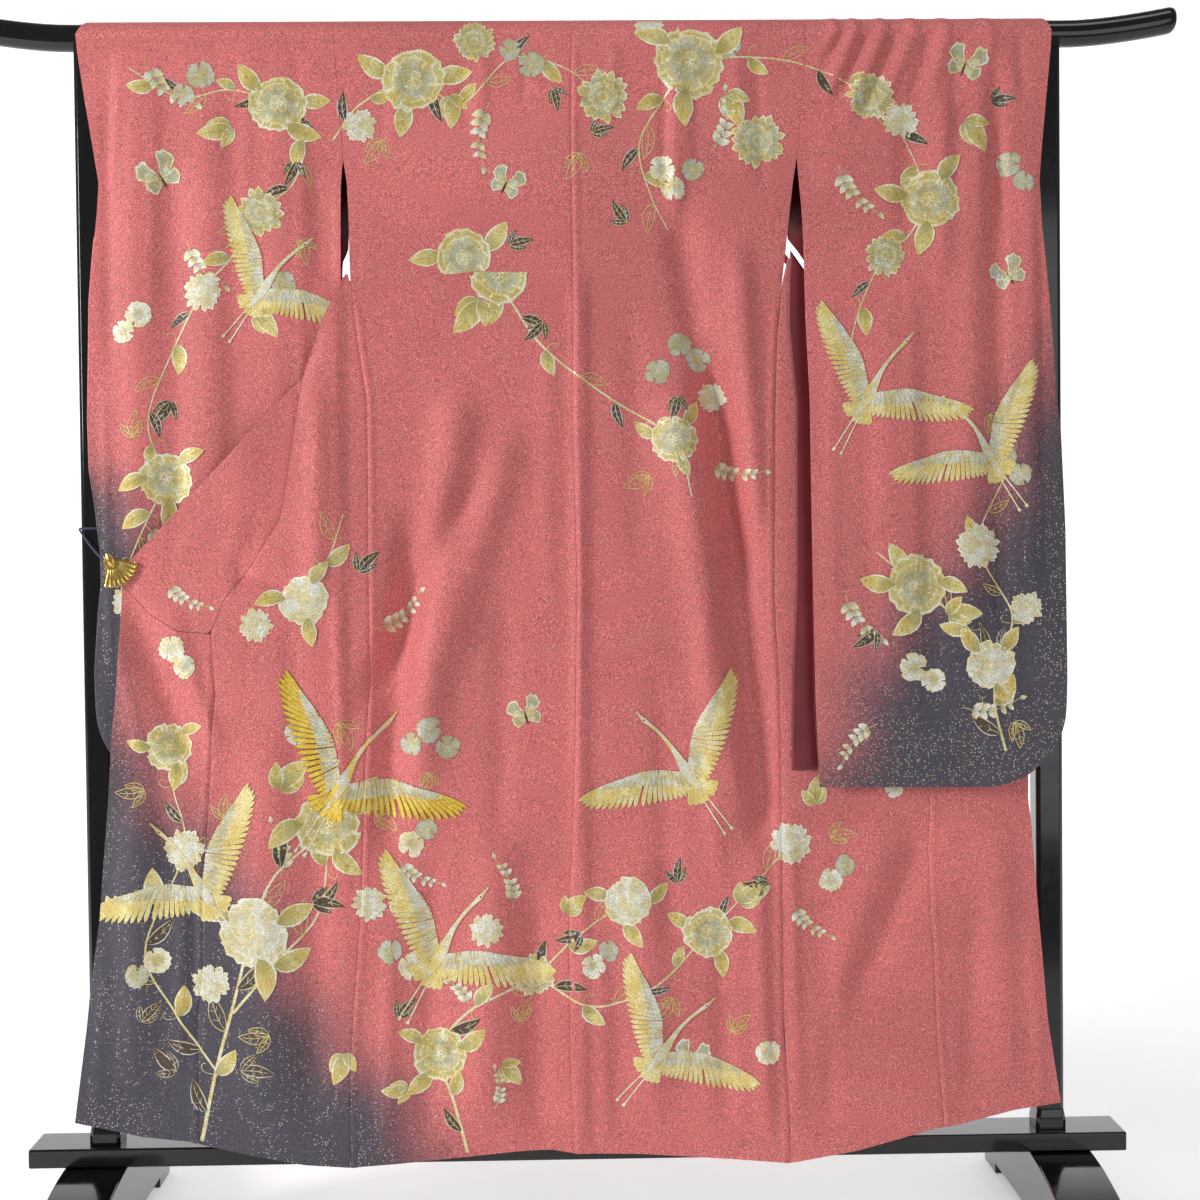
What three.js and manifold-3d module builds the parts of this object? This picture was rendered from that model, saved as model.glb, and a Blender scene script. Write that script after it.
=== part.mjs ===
// A furisode kimono draped over a lacquered kimono stand, seen from its back.
// Millimetres. X runs along the bar, +Y points away from the garment's back, +Z is up.
// The origin is on the floor under the middle of the stand. Left and right are as seen from -Y.
// Every sewn piece is a thin wall; neighbours stand a seam's width apart.

import * as THREE from 'three';
import { mergeVertices } from 'three/addons/utils/BufferGeometryUtils.js';
import Module from 'manifold-3d';

// ---------------------------------------------------------------- driving dimensions

const WALL = 2;                  // crepe and lining together
const LINING_WALL = 1;
const SEAM = 0.34;               // between two sewn pieces
const CLEAR = 0.3;               // between two pieces that touch

const BAR = { radius: 19, axisZ: 1689, halfLength: 858, bendX: 702, endRise: 20 };
const POST = { x: 670, halfWidth: 19, halfDepth: 22, chamfer: 5, tineZ: 1682, shoulderZ: 1664, tineDepth: 19.7 };
const POST_FOOT = { height: 28, flare: 2.5 };
const BEAM = { halfLength: 773, halfDepth: 41, bottomZ: 109, topZ: 136, edge: 3 };
const FOOT = { x: 680, halfWidth: 44, halfLength: 285, topZ: BEAM.bottomZ - CLEAR, endZ: 55 };
const PAD = { halfWidth: 40, innerY: 205, outerY: 280, height: 20 };

const ARCH_ROWS = 8;
// Middle of the cloth over the bar: the flats of its inner side clear the bar.
const DRAPE_RADIUS = (BAR.radius + 0.35) / Math.cos(Math.PI / (2 * ARCH_ROWS)) + WALL / 2;
const SHOULDER_Z = BAR.axisZ;                       // where the arch over the bar begins
const CUFF_Z = 1478;                                // the cuff is open above this height
const ARMHOLE_Z = 1513;                             // the sleeve is sewn on above this height
const SIDE_SEAM_Z = 1336;                           // the side seam starts here and runs down

// ---------------------------------------------------------------- small mathematics

const clamp01 = (t) => Math.min(1, Math.max(0, t));
const smooth = (t) => clamp01(t) ** 2 * (3 - 2 * clamp01(t));
const mix = (a, b, t) => a + (b - a) * t;

// Straight-line look-up in a table sorted by its key column.
function lookUp(table, key, column, at) {
  let row = 0;
  while (row < table.length - 2 && table[row + 1][key] < at) row += 1;
  const a = table[row];
  const b = table[row + 1];
  return mix(a[column], b[column], clamp01((at - a[key]) / (b[key] - a[key])));
}

// Smooth look-up through given places and values, with no overshoot.
function smoothCurve(places, values, at) {
  const last = places.length - 1;
  if (at <= places[0]) return values[0];
  if (at >= places[last]) return values[last];
  let i = 0;
  while (places[i + 1] < at) i += 1;
  const secant = (k) => (values[k + 1] - values[k]) / (places[k + 1] - places[k]);
  const slope = (k) => {
    if (k === 0 || k === last) return 0;
    const before = secant(k - 1);
    const after = secant(k);
    return before * after <= 0 ? 0 : (2 * before * after) / (before + after);
  };
  const h = places[i + 1] - places[i];
  const t = (at - places[i]) / h;
  const hermite = (2 * t ** 3 - 3 * t ** 2 + 1) * values[i] + (3 * t ** 2 - 2 * t ** 3) * values[i + 1];
  return hermite + h * ((t ** 3 - 2 * t ** 2 + t) * slope(i) + (t ** 3 - t ** 2) * slope(i + 1));
}

// ---------------------------------------------------------------- outlines of the pieces (x at height z)

const CENTRE_SEAM = [
  { z: 124, x: -10 }, { z: 259, x: -14 }, { z: 438, x: -14 }, { z: 618, x: -5 }, { z: 713, x: -2 },
  { z: 927, x: 3 }, { z: 1176, x: -1 }, { z: 1340, x: 2 }, { z: 1551, x: 1 }, { z: 1689, x: 3 },
];
const SIDE_LEFT = [
  { z: 110, x: -321 }, { z: 227, x: -321 }, { z: 310, x: -316 }, { z: 479, x: -302 }, { z: 622, x: -297 },
  { z: 803, x: -287 }, { z: 1178, x: -286 }, { z: 1247, x: -296 }, { z: 1336, x: -306 }, { z: 1374, x: -308 },
  { z: 1427, x: -309 }, { z: 1479, x: -311 }, { z: 1513, x: -316 }, { z: 1593, x: -321 }, { z: 1689, x: -328 },
];
const SIDE_RIGHT = [
  { z: 105, x: 294 }, { z: 181, x: 293 }, { z: 289, x: 286 }, { z: 613, x: 287 }, { z: 781, x: 286 },
  { z: 852, x: 281 }, { z: 924, x: 280 }, { z: 1174, x: 283 }, { z: 1285, x: 288 }, { z: 1336, x: 294 },
  { z: 1385, x: 300 }, { z: 1454, x: 308 }, { z: 1479, x: 311 }, { z: 1513, x: 316.5 }, { z: 1576, x: 323 },
  { z: 1643, x: 329 }, { z: 1689, x: 331 },
];
// The left front's outer boundary: okumi seam, collar seam, then the edge where the front billows forward.
const FRONT_LEFT_EDGE = [
  { z: 145, x: -530 }, { z: 324, x: -531 }, { z: 386, x: -523 }, { z: 503, x: -521 }, { z: 626, x: -511 },
  { z: 735, x: -504 }, { z: 777, x: -500 }, { z: 856, x: -506 }, { z: 902, x: -486 }, { z: 952, x: -446 },
  { z: 1017, x: -405 }, { z: 1095, x: -391 }, { z: 1211, x: -373 }, { z: 1290, x: -345 }, { z: 1352, x: -313 },
];
const OKUMI_LEFT_EDGE = [
  { z: 179, x: -702 }, { z: 310, x: -684 }, { z: 364, x: -678 }, { z: 463, x: -664 }, { z: 524, x: -659 },
  { z: 629, x: -650 }, { z: 713, x: -645 }, { z: 766, x: -639 }, { z: 832, x: -633 }, { z: 924, x: -627 },
];
const OKUMI_RIGHT_SEAM = [
  { z: 150, x: 511 }, { z: 270, x: 502 }, { z: 393, x: 500 }, { z: 447, x: 496 }, { z: 538, x: 495 },
  { z: 610, x: 497 }, { z: 1060, x: 497 },
];
const OKUMI_RIGHT_EDGE = [
  { z: 182, x: 677 }, { z: 299, x: 660 }, { z: 463, x: 648 }, { z: 572, x: 641 }, { z: 608, x: 637 },
  { z: 835, x: 638 },
];
const HEM = [
  { x: -702, z: 179 }, { x: -671, z: 172 }, { x: -607, z: 158 }, { x: -544, z: 151 }, { x: -516, z: 144 },
  { x: -453, z: 130 }, { x: -383, z: 116 }, { x: -319, z: 110 }, { x: -252, z: 114 }, { x: -181, z: 120 },
  { x: -89, z: 128 }, { x: -39, z: 129 }, { x: -10, z: 124 }, { x: 89, z: 121 }, { x: 211, z: 112 },
  { x: 292, z: 105 }, { x: 306, z: 107 }, { x: 389, z: 121 }, { x: 500, z: 150 }, { x: 525, z: 153 },
  { x: 611, z: 173 }, { x: 677, z: 182 },
];

// How far the near layer of the body stands toward the viewer from the bar's axis,
// a row for each height and a column for each station across.
const STATIONS = [-700, -560, -430, -330, -308, -150, 0, 150, 290, 340, 500, 680];
const SECTIONS = [
  { z: 105, depths: [60, 62, 66, 62, 60, 58, 56, 56, 57, 57, 55, 50] },
  { z: 400, depths: [56, 58, 62, 58, 56, 52, 50, 50, 48, 44, 42, 40] },
  { z: 640, depths: [52, 52, 58, 56, 52, 44, 42, 42, 38, 32, 32, 30] },
  { z: 860, depths: [50, 50, 57, 55, 50, 38, 35, 36, 34, 28, 30, 30] },
  { z: 1000, depths: [50, 50, 57, 55, 48, 36, 32, 33, 32, 26, 28, 28] },
  { z: 1180, depths: [50, 50, 58, 54, 46, 33, 29, 30, 31, 24, 26, 28] },
  { z: 1336, depths: [50, 50, 54, 50, 44, 31, 28, 28, 30, 25, 26, 28] },
  { z: 1400, depths: [44, 44, 44, 40, 36, 29, 28, 28, 29, 27, 28, 28] },
  { z: 1513, depths: [27, 27, 27, 27, 27, 27, 27, 27, 28, 28, 28, 28] },
  { z: 1664, depths: [25, 25, 25, 25, 25, 25, 25, 25, 25, 25, 25, 25] },
  { z: 1689, depths: Array(STATIONS.length).fill(DRAPE_RADIUS) },
];

// Folds of the body, as runs from one point to another; lift is toward the viewer.
const BODY_FOLDS = [
  { x0: 12, z0: 1340, x1: 2, z1: 130, half: 13, lift: 3 },
  { x0: 200, z0: 1230, x1: 262, z1: 560, half: 26, lift: -8 },
  { x0: 140, z0: 1180, x1: 228, z1: 600, half: 30, lift: 7 },
  { x0: -160, z0: 1180, x1: -222, z1: 640, half: 30, lift: 7 },
  { x0: -225, z0: 1010, x1: -268, z1: 560, half: 24, lift: -7 },
  { x0: 491, z0: 560, x1: 382, z1: 330, half: 26, lift: -8 },
  { x0: 430, z0: 560, x1: 330, z1: 250, half: 30, lift: 6 },
  { x0: 148, z0: 1640, x1: 146, z1: 1430, half: 11, lift: 3 },
  { x0: -110, z0: 560, x1: -140, z1: 180, half: 34, lift: 6 },
  { x0: 90, z0: 520, x1: 100, z1: 180, half: 32, lift: 5 },
  { x0: -60, z0: 480, x1: -55, z1: 150, half: 26, lift: -5 },
  { x0: -618, z0: 905, x1: -540, z1: 690, half: 20, lift: -7 },
  { x0: -430, z0: 700, x1: -440, z1: 200, half: 34, lift: 6 },
  { x0: -610, z0: 620, x1: -620, z1: 240, half: 26, lift: 6 },
  { x0: -360, z0: 620, x1: -372, z1: 180, half: 24, lift: -5 },
  { x0: 590, z0: 560, x1: 600, z1: 220, half: 26, lift: 5 },
  { x0: -352, z0: 1180, x1: -360, z1: 900, half: 18, lift: 5 },
];
const SLEEVE_LEFT_FOLDS = [
  { x0: -600, z0: 1650, x1: -610, z1: 800, half: 24, lift: 4 },
  { x0: -505, z0: 1600, x1: -500, z1: 760, half: 26, lift: 3.5 },
  { x0: -552, z0: 1500, x1: -556, z1: 800, half: 18, lift: -3 },
  { x0: -400, z0: 1620, x1: -420, z1: 760, half: 28, lift: 3 },
  { x0: -350, z0: 1500, x1: -346, z1: 1340, half: 13, lift: -3 },
];
const SLEEVE_RIGHT_FOLDS = [
  { x0: 395, z0: 1640, x1: 362, z1: 1500, half: 13, lift: -3 },
  { x0: 430, z0: 1640, x1: 404, z1: 1470, half: 15, lift: 4 },
  { x0: 482, z0: 1640, x1: 462, z1: 1440, half: 14, lift: -4 },
  { x0: 520, z0: 1640, x1: 515, z1: 1350, half: 18, lift: 4 },
  { x0: 640, z0: 1500, x1: 632, z1: 900, half: 18, lift: 4 },
  { x0: 596, z0: 1560, x1: 592, z1: 860, half: 16, lift: -4 },
  { x0: 556, z0: 1500, x1: 548, z1: 820, half: 20, lift: 4 },
  { x0: 440, z0: 1300, x1: 446, z1: 760, half: 34, lift: 4 },
  { x0: 496, z0: 1200, x1: 500, z1: 740, half: 22, lift: -3 },
];

// Sum of the folds at a point: soft across, and fading over a fold's last width at each end.
function foldLift(folds, x, z) {
  let sum = 0;
  for (const fold of folds) {
    const dx = fold.x1 - fold.x0;
    const dz = fold.z1 - fold.z0;
    const length = Math.hypot(dx, dz);
    const along = ((x - fold.x0) * dx + (z - fold.z0) * dz) / length;
    const across = ((x - fold.x0) * dz - (z - fold.z0) * dx) / length;
    const fade = Math.min(90, length / 2.5);
    const ends = smooth(along / fade + 0.5) * smooth((length - along) / fade + 0.5);
    sum += fold.lift * ends * Math.exp(-((across / fold.half) ** 2));
  }
  return sum;
}

function bodyDepth(x, z) {
  const heights = SECTIONS.map((section) => section.z);
  const depths = SECTIONS.map((section) => smoothCurve(STATIONS, section.depths, x));
  return smoothCurve(heights, depths, z) + foldLift(BODY_FOLDS, x, z);
}

// The upper fronts and the collar behind the bar (+Y side).
const UPPER_APEX_Y = 13.4;
function upperY(z) {
  const hang = DRAPE_RADIUS + 2 * smooth((SHOULDER_Z - z) / 80);
  return mix(hang, UPPER_APEX_Y, smooth((1600 - z) / 220));
}

// ---------------------------------------------------------------- closed solids from points

// Joins a grid of outer points to the matching grid of inner points as one closed wall.
function wallGeometry(outer, inner) {
  const rows = outer.length;
  const columns = outer[0].length;
  const positions = [];
  for (const grid of [outer, inner]) {
    for (const row of grid) for (const p of row) positions.push(p.x, p.y, p.z);
  }
  const index = [];
  const at = (side, j, i) => side * rows * columns + j * columns + i;
  const quad = (a, b, c, d) => index.push(a, b, c, a, c, d);
  for (let j = 0; j < rows - 1; j += 1) {
    for (let i = 0; i < columns - 1; i += 1) {
      quad(at(0, j, i), at(0, j, i + 1), at(0, j + 1, i + 1), at(0, j + 1, i));
      quad(at(1, j, i), at(1, j + 1, i), at(1, j + 1, i + 1), at(1, j, i + 1));
    }
  }
  const rim = [];
  for (let i = 0; i < columns - 1; i += 1) rim.push([0, i]);
  for (let j = 0; j < rows - 1; j += 1) rim.push([j, columns - 1]);
  for (let i = columns - 1; i > 0; i -= 1) rim.push([rows - 1, i]);
  for (let j = rows - 1; j > 0; j -= 1) rim.push([j, 0]);
  rim.forEach(([j, i], k) => {
    const [nextJ, nextI] = rim[(k + 1) % rim.length];
    quad(at(0, j, i), at(1, j, i), at(1, nextJ, nextI), at(0, nextJ, nextI));
  });
  return closedGeometry(positions, index);
}

// Joins closed rings of points, one after another, with a flat cap on the first and the last.
function loftGeometry(rings, closed = false) {
  const sides = rings[0].length;
  const positions = rings.flat().flatMap((p) => [p.x, p.y, p.z]);
  const index = [];
  const steps = closed ? rings.length : rings.length - 1;
  for (let r = 0; r < steps; r += 1) {
    const next = (r + 1) % rings.length;
    for (let s = 0; s < sides; s += 1) {
      const t = (s + 1) % sides;
      index.push(r * sides + s, r * sides + t, next * sides + t);
      index.push(r * sides + s, next * sides + t, next * sides + s);
    }
  }
  if (!closed) {
    const end = (rings.length - 1) * sides;
    for (let s = 1; s < sides - 1; s += 1) {
      index.push(0, s + 1, s);
      index.push(end, end + s, end + s + 1);
    }
  }
  return closedGeometry(positions, index);
}

// Turns the faces outward if the enclosed volume comes out negative.
function closedGeometry(positions, index) {
  const corner = (k) => new THREE.Vector3().fromArray(positions, index[k] * 3);
  let volume = 0;
  for (let k = 0; k < index.length; k += 3) {
    volume += corner(k).dot(corner(k + 1).cross(corner(k + 2)));
  }
  if (volume < 0) index.reverse();
  const geometry = new THREE.BufferGeometry();
  geometry.setAttribute('position', new THREE.Float32BufferAttribute(positions, 3));
  geometry.setIndex(index);
  geometry.computeVertexNormals();
  return geometry;
}

// Thickens rows of cloth points; each point carries the direction of the cloth's outer face.
function clothGeometry(rows, wall = WALL) {
  const moved = (amount) => rows.map((row) => row.map((p) => p.at.clone().addScaledVector(p.out, amount)));
  return wallGeometry(moved(wall / 2), moved(-wall / 2));
}

const TO_VIEWER = new THREE.Vector3(0, -1, 0);
const TO_BACK = new THREE.Vector3(0, 1, 0);
const nearPoint = (x, z, depth) => ({ at: new THREE.Vector3(x, -depth, z), out: TO_VIEWER });
const farPoint = (x, y, z) => ({ at: new THREE.Vector3(x, y, z), out: TO_BACK });
function archPoint(x, angle) {
  const out = new THREE.Vector3(0, -Math.cos(angle), Math.sin(angle));
  const at = out.clone().multiplyScalar(DRAPE_RADIUS);
  return { at: at.add(new THREE.Vector3(x, 0, SHOULDER_Z)), out };
}

// ---------------------------------------------------------------- materials and the group

const fabric = (color) => new THREE.MeshStandardMaterial({ color, roughness: 0.85, metalness: 0 });
const MATERIALS = {
  crepe: fabric('#c96066'),
  lining: fabric('#7a1420'),
  lacquer: new THREE.MeshStandardMaterial({ color: '#0b0b0d', roughness: 0.15, metalness: 0 }),
  gold: new THREE.MeshStandardMaterial({ color: '#c9a040', roughness: 0.3, metalness: 1 }),
  cord: fabric('#2a1c4a'),
};
const kimonoOnStand = new THREE.Group();
function addPiece(name, geometry, material) {
  const mesh = new THREE.Mesh(geometry, material);
  mesh.name = name;
  kimonoOnStand.add(mesh);
}

// ---------------------------------------------------------------- levels shared by neighbouring pieces

const evenly = (from, to, steps) => Array.from({ length: steps + 1 }, (_, k) => mix(from, to, k / steps));
const SEAM_ROWS = 18;                                    // hem to the top of the side seam
const GAP_LEVELS = [1374, 1427, 1479];
const ARMHOLE_LEVELS = [ARMHOLE_Z, 1572, 1630, 1664, SHOULDER_Z];
const sideLevels = (side) => evenly(side[0].z, SIDE_SEAM_Z, SEAM_ROWS);
const OKUMI_ROWS = 12;
const FRONT_LEFT_LEVELS = [...evenly(145, 856, OKUMI_ROWS), 902, 952, 1017, 1095, 1211, 1290, 1352];

// Rows of near-side points between two edges, with the lowest row on the hem.
function hemmedRows(leftEdge, rightEdge, columns, depthAt) {
  const last = leftEdge.length - 1;
  return leftEdge.map((left, j) => {
    const right = rightEdge[j];
    const hemPull = (1 - j / last) ** 3;
    return evenly(0, 1, columns).map((u) => {
      const x = mix(left.x, right.x, u);
      const hemX = mix(leftEdge[0].x, rightEdge[0].x, u);
      const straightHem = mix(leftEdge[0].z, rightEdge[0].z, u);
      const z = mix(left.z, right.z, u) + hemPull * (lookUp(HEM, 'x', 'z', hemX) - straightHem);
      return nearPoint(x, z, depthAt(x, z));
    });
  });
}

// ---------------------------------------------------------------- back panels

function addBack(name, side, direction) {
  const sideZ = [...sideLevels(side), ...GAP_LEVELS, ...ARMHOLE_LEVELS];
  const centreHem = CENTRE_SEAM[0].z;
  const sideEdge = sideZ.map((z) => ({ x: lookUp(side, 'z', 'x', z) - direction * SEAM / 2, z }));
  const centreEdge = sideZ.map((sz) => {
    const z = mix(centreHem, SHOULDER_Z, (sz - side[0].z) / (SHOULDER_Z - side[0].z));
    return { x: lookUp(CENTRE_SEAM, 'z', 'x', z) + direction * SEAM / 2, z };
  });
  const edges = direction < 0 ? [sideEdge, centreEdge] : [centreEdge, sideEdge];
  const columns = 12;
  const rows = hemmedRows(edges[0], edges[1], columns, bodyDepth);
  const [left, right] = edges.map((edge) => edge[edge.length - 1].x);
  for (let k = 1; k <= ARCH_ROWS; k += 1) {
    rows.push(evenly(left, right, columns).map((x) => archPoint(x, (Math.PI * k) / ARCH_ROWS)));
  }
  addPiece(name, clothGeometry(rows), MATERIALS.crepe);
}
addBack('back_left', SIDE_LEFT, -1);
addBack('back_right', SIDE_RIGHT, 1);

// ---------------------------------------------------------------- the collar's outlines

// Near the clip the band's free edge is its upper one, at a steady slope.
const COLLAR_END_X = -627;
const bandTop = (x) => 1211 + (x + 373) * 1.043;
// The band's end, sewn to the left okumi in a sagging line.
const END_SEAM = [
  { x: COLLAR_END_X, z: 925 }, { x: -590, z: 884 }, { x: -550, z: 860 }, { x: -506, z: 856 },
];
const END_SEAM_COLUMNS = 6;
// Right of the side opening the collar runs straight down behind the sleeve.
const RIGHT_OPEN_X = 303;
const RIGHT_END_X = 637;
const rightTop = (x) => 1386 - (x - RIGHT_OPEN_X) * 1.368;
const rightLow = (x) => 1372 - (x - RIGHT_OPEN_X) * 1.614;

// ---------------------------------------------------------------- left front and left okumi

function addFrontLeft() {
  const topRow = FRONT_LEFT_LEVELS.length - 1;
  const leftEdge = FRONT_LEFT_LEVELS.map((z) => {
    const seamShift = z < 1018 ? SEAM / 2 + 0.1 : 0;
    return { x: lookUp(FRONT_LEFT_EDGE, 'z', 'x', z) + seamShift, z };
  });
  const rightEdge = [...sideLevels(SIDE_LEFT), FRONT_LEFT_LEVELS[topRow]].map((z) => {
    const x = z > SIDE_SEAM_Z ? -309.5 : lookUp(SIDE_LEFT, 'z', 'x', z) - SEAM / 2;
    return { x, z };
  });
  addPiece('front_left', clothGeometry(hemmedRows(leftEdge, rightEdge, 9, bodyDepth)), MATERIALS.crepe);
}
addFrontLeft();

function addOkumiLeft() {
  const seamLevels = FRONT_LEFT_LEVELS.slice(0, OKUMI_ROWS + 1);
  const freeLevels = evenly(OKUMI_LEFT_EDGE[0].z, END_SEAM[0].z - SEAM / 2, OKUMI_ROWS);
  const leftEdge = freeLevels.map((z) => ({ x: lookUp(OKUMI_LEFT_EDGE, 'z', 'x', z), z }));
  const rightEdge = seamLevels.map((z) => ({ x: lookUp(FRONT_LEFT_EDGE, 'z', 'x', z) - SEAM / 2, z }));
  const rows = hemmedRows(leftEdge, rightEdge, END_SEAM_COLUMNS, bodyDepth);
  const straight = (x) => mix(925, 856, (x - COLLAR_END_X) / (-506 - COLLAR_END_X));
  const sagged = rows.map((row, j) => row.map((p) => {
    const pull = smooth((j / OKUMI_ROWS - 0.6) / 0.4);
    const z = p.at.z + pull * (lookUp(END_SEAM, 'x', 'z', p.at.x) - straight(p.at.x) - SEAM / 2);
    return nearPoint(p.at.x, z, bodyDepth(p.at.x, z));
  }));
  addPiece('okumi_left', clothGeometry(sagged), MATERIALS.crepe);
}
addOkumiLeft();

// ---------------------------------------------------------------- right front, right okumi, lining

const FRONT_RIGHT_ROWS = SEAM_ROWS + 1;
const okumiRightLevels = evenly(OKUMI_RIGHT_SEAM[0].z, rightLow(497) - SEAM, FRONT_RIGHT_ROWS);

function addFrontRight() {
  const leftEdge = sideLevels(SIDE_RIGHT).map((z) => ({ x: lookUp(SIDE_RIGHT, 'z', 'x', z) + SEAM / 2, z }));
  leftEdge.push({ x: RIGHT_OPEN_X - 0.5, z: rightLow(RIGHT_OPEN_X - 0.5) - SEAM });
  const rightEdge = okumiRightLevels.map((z) => ({ x: lookUp(OKUMI_RIGHT_SEAM, 'z', 'x', z) - SEAM / 2, z }));
  addPiece('front_right', clothGeometry(hemmedRows(leftEdge, rightEdge, 8, bodyDepth)), MATERIALS.crepe);
}
addFrontRight();

function addOkumiRight() {
  const leftEdge = okumiRightLevels.map((z) => ({ x: lookUp(OKUMI_RIGHT_SEAM, 'z', 'x', z) + SEAM / 2, z }));
  const freeLevels = evenly(OKUMI_RIGHT_EDGE[0].z, rightLow(638) - SEAM, FRONT_RIGHT_ROWS);
  const rightEdge = freeLevels.map((z) => ({ x: lookUp(OKUMI_RIGHT_EDGE, 'z', 'x', z), z }));
  addPiece('okumi_right', clothGeometry(hemmedRows(leftEdge, rightEdge, 6, bodyDepth)), MATERIALS.crepe);
}
addOkumiRight();

// The red lining that shows in the right side opening, lying just in front of the front panel.
const LINING_EDGE = [
  { z: 655, x: 302 }, { z: 781, x: 304 }, { z: 925, x: 311 }, { z: 1174, x: 312 }, { z: 1286, x: 302 },
  { z: 1343, x: 303 }, { z: 1383, x: 306 },
];
const LINING_RIGHT_X = 350;

function addLiningRight() {
  const steps = 12;
  const lift = WALL / 2 + CLEAR + LINING_WALL / 2 + 1.2;
  const leftZ = evenly(LINING_EDGE[0].z, 1383, steps);
  const rightZ = evenly(LINING_EDGE[0].z, rightTop(LINING_RIGHT_X), steps);
  const rows = leftZ.map((z, j) => evenly(0, 1, 3).map((u) => {
    const x = mix(lookUp(LINING_EDGE, 'z', 'x', z), LINING_RIGHT_X, u);
    const height = mix(z, rightZ[j], u);
    return nearPoint(x, height, bodyDepth(x, height) + lift);
  }));
  addPiece('lining_right', clothGeometry(rows, LINING_WALL), MATERIALS.lining);
}
addLiningRight();

// ---------------------------------------------------------------- upper fronts, behind the bar

const NECK_HALF = 97;
const UPPER_LEVELS = [1374, 1427, 1479, 1513, 1572, 1630, 1664, SHOULDER_Z - SEAM];
const UPPER_SIDE_LEFT = [
  { z: 1355, x: -307 }, { z: 1374, x: -308 }, { z: 1427, x: -309 }, { z: 1479, x: -311 }, { z: 1513, x: -316 },
  { z: 1593, x: -321 }, { z: 1689, x: -328 },
];
const UPPER_SIDE_RIGHT = [
  { z: 1390, x: 305 }, { z: 1427, x: 306.5 }, { z: 1479, x: 309.5 }, { z: 1500, x: 313.5 }, { z: 1513, x: 316.5 },
  { z: 1576, x: 323 }, { z: 1643, x: 329 }, { z: 1689, x: 331 },
];
// The line on which the collar is sewn to each upper front: straight from the apex to the neck.
const collarSeamX = (apex, z) => mix(apex.x, Math.sign(apex.x) * NECK_HALF, (z - apex.z) / (SHOULDER_Z - apex.z));
const LEFT_APEX = { x: -303, z: 1352 };
const RIGHT_APEX = { x: RIGHT_OPEN_X, z: 1386 };

function addUpperFront(name, side, apex) {
  const levels = [side[0].z, ...UPPER_LEVELS.filter((z) => z > side[0].z + 5)];
  const inward = -Math.sign(apex.x);
  const rows = levels.map((z) => {
    const outerX = lookUp(side, 'z', 'x', z) + inward * SEAM / 2;
    const seamX = collarSeamX(apex, z) - inward * SEAM;
    const [left, right] = outerX < seamX ? [outerX, seamX] : [seamX, outerX];
    return evenly(left, right, 7).map((x) => farPoint(x, upperY(z), z));
  });
  addPiece(name, clothGeometry(rows), MATERIALS.crepe);
}
addUpperFront('front_left_upper', UPPER_SIDE_LEFT, LEFT_APEX);
addUpperFront('front_right_upper', UPPER_SIDE_RIGHT, RIGHT_APEX);

// ---------------------------------------------------------------- collar

// Where the band lies under the left front's billow it sinks back from the body's surface.
const COLLAR_SINK = 8;
// The band behind the billow and through the left side opening, with its own places.
// Its outer length is joined to the neck's length at the first step under half a millimetre.
const COLLAR_TURN = [
  { x: -390, y: -49, top: 1193, low: 1050 }, { x: -373, y: -48, top: 1208, low: 1095 },
  { x: -350, y: -45, top: 1248, low: 1175 }, { x: -334, y: -42.5, top: 1296, low: 1258 },
  { x: -324, y: -41, top: 1330, low: 1314 }, { x: -318.5, y: -40.2, top: 1346, low: 1332 },
  { x: -317.2, y: -39.7, top: 1348, low: 1334 }, { x: -316.9, y: -39.5, top: 1348, low: 1334 },
  { x: -315.2, y: -38, top: 1350, low: 1337 }, { x: -313.9, y: -34, top: 1350, low: 1337 },
  { x: -313.7, y: -12, top: 1350, low: 1337 }, { x: -313.7, y: 5, top: 1350, low: 1337 },
  { x: -312.6, y: 10, top: 1350, low: 1337 }, { x: -309, y: 12.8, top: 1350.5, low: 1337 },
];
// The band is kept in five lengths, so that the collision of each follows its own bend.
const COLLAR_LENGTHS = [
  { name: 'collar_left', end: -317 }, { name: 'collar_shoulder_left', end: -199.85 },
  { name: 'collar_neck', end: 199.85 }, { name: 'collar_shoulder_right', end: 303.2 },
  { name: 'collar_right', end: Infinity },
];
const COLLAR_DROP = 59;                    // the band hangs this far below the neckline
const LEFT_FREE_SLOPE = (1600 - 1338) / (303 - NECK_HALF);
const RIGHT_FREE_SLOPE = (1600 - 1372) / (303 - NECK_HALF);

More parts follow.
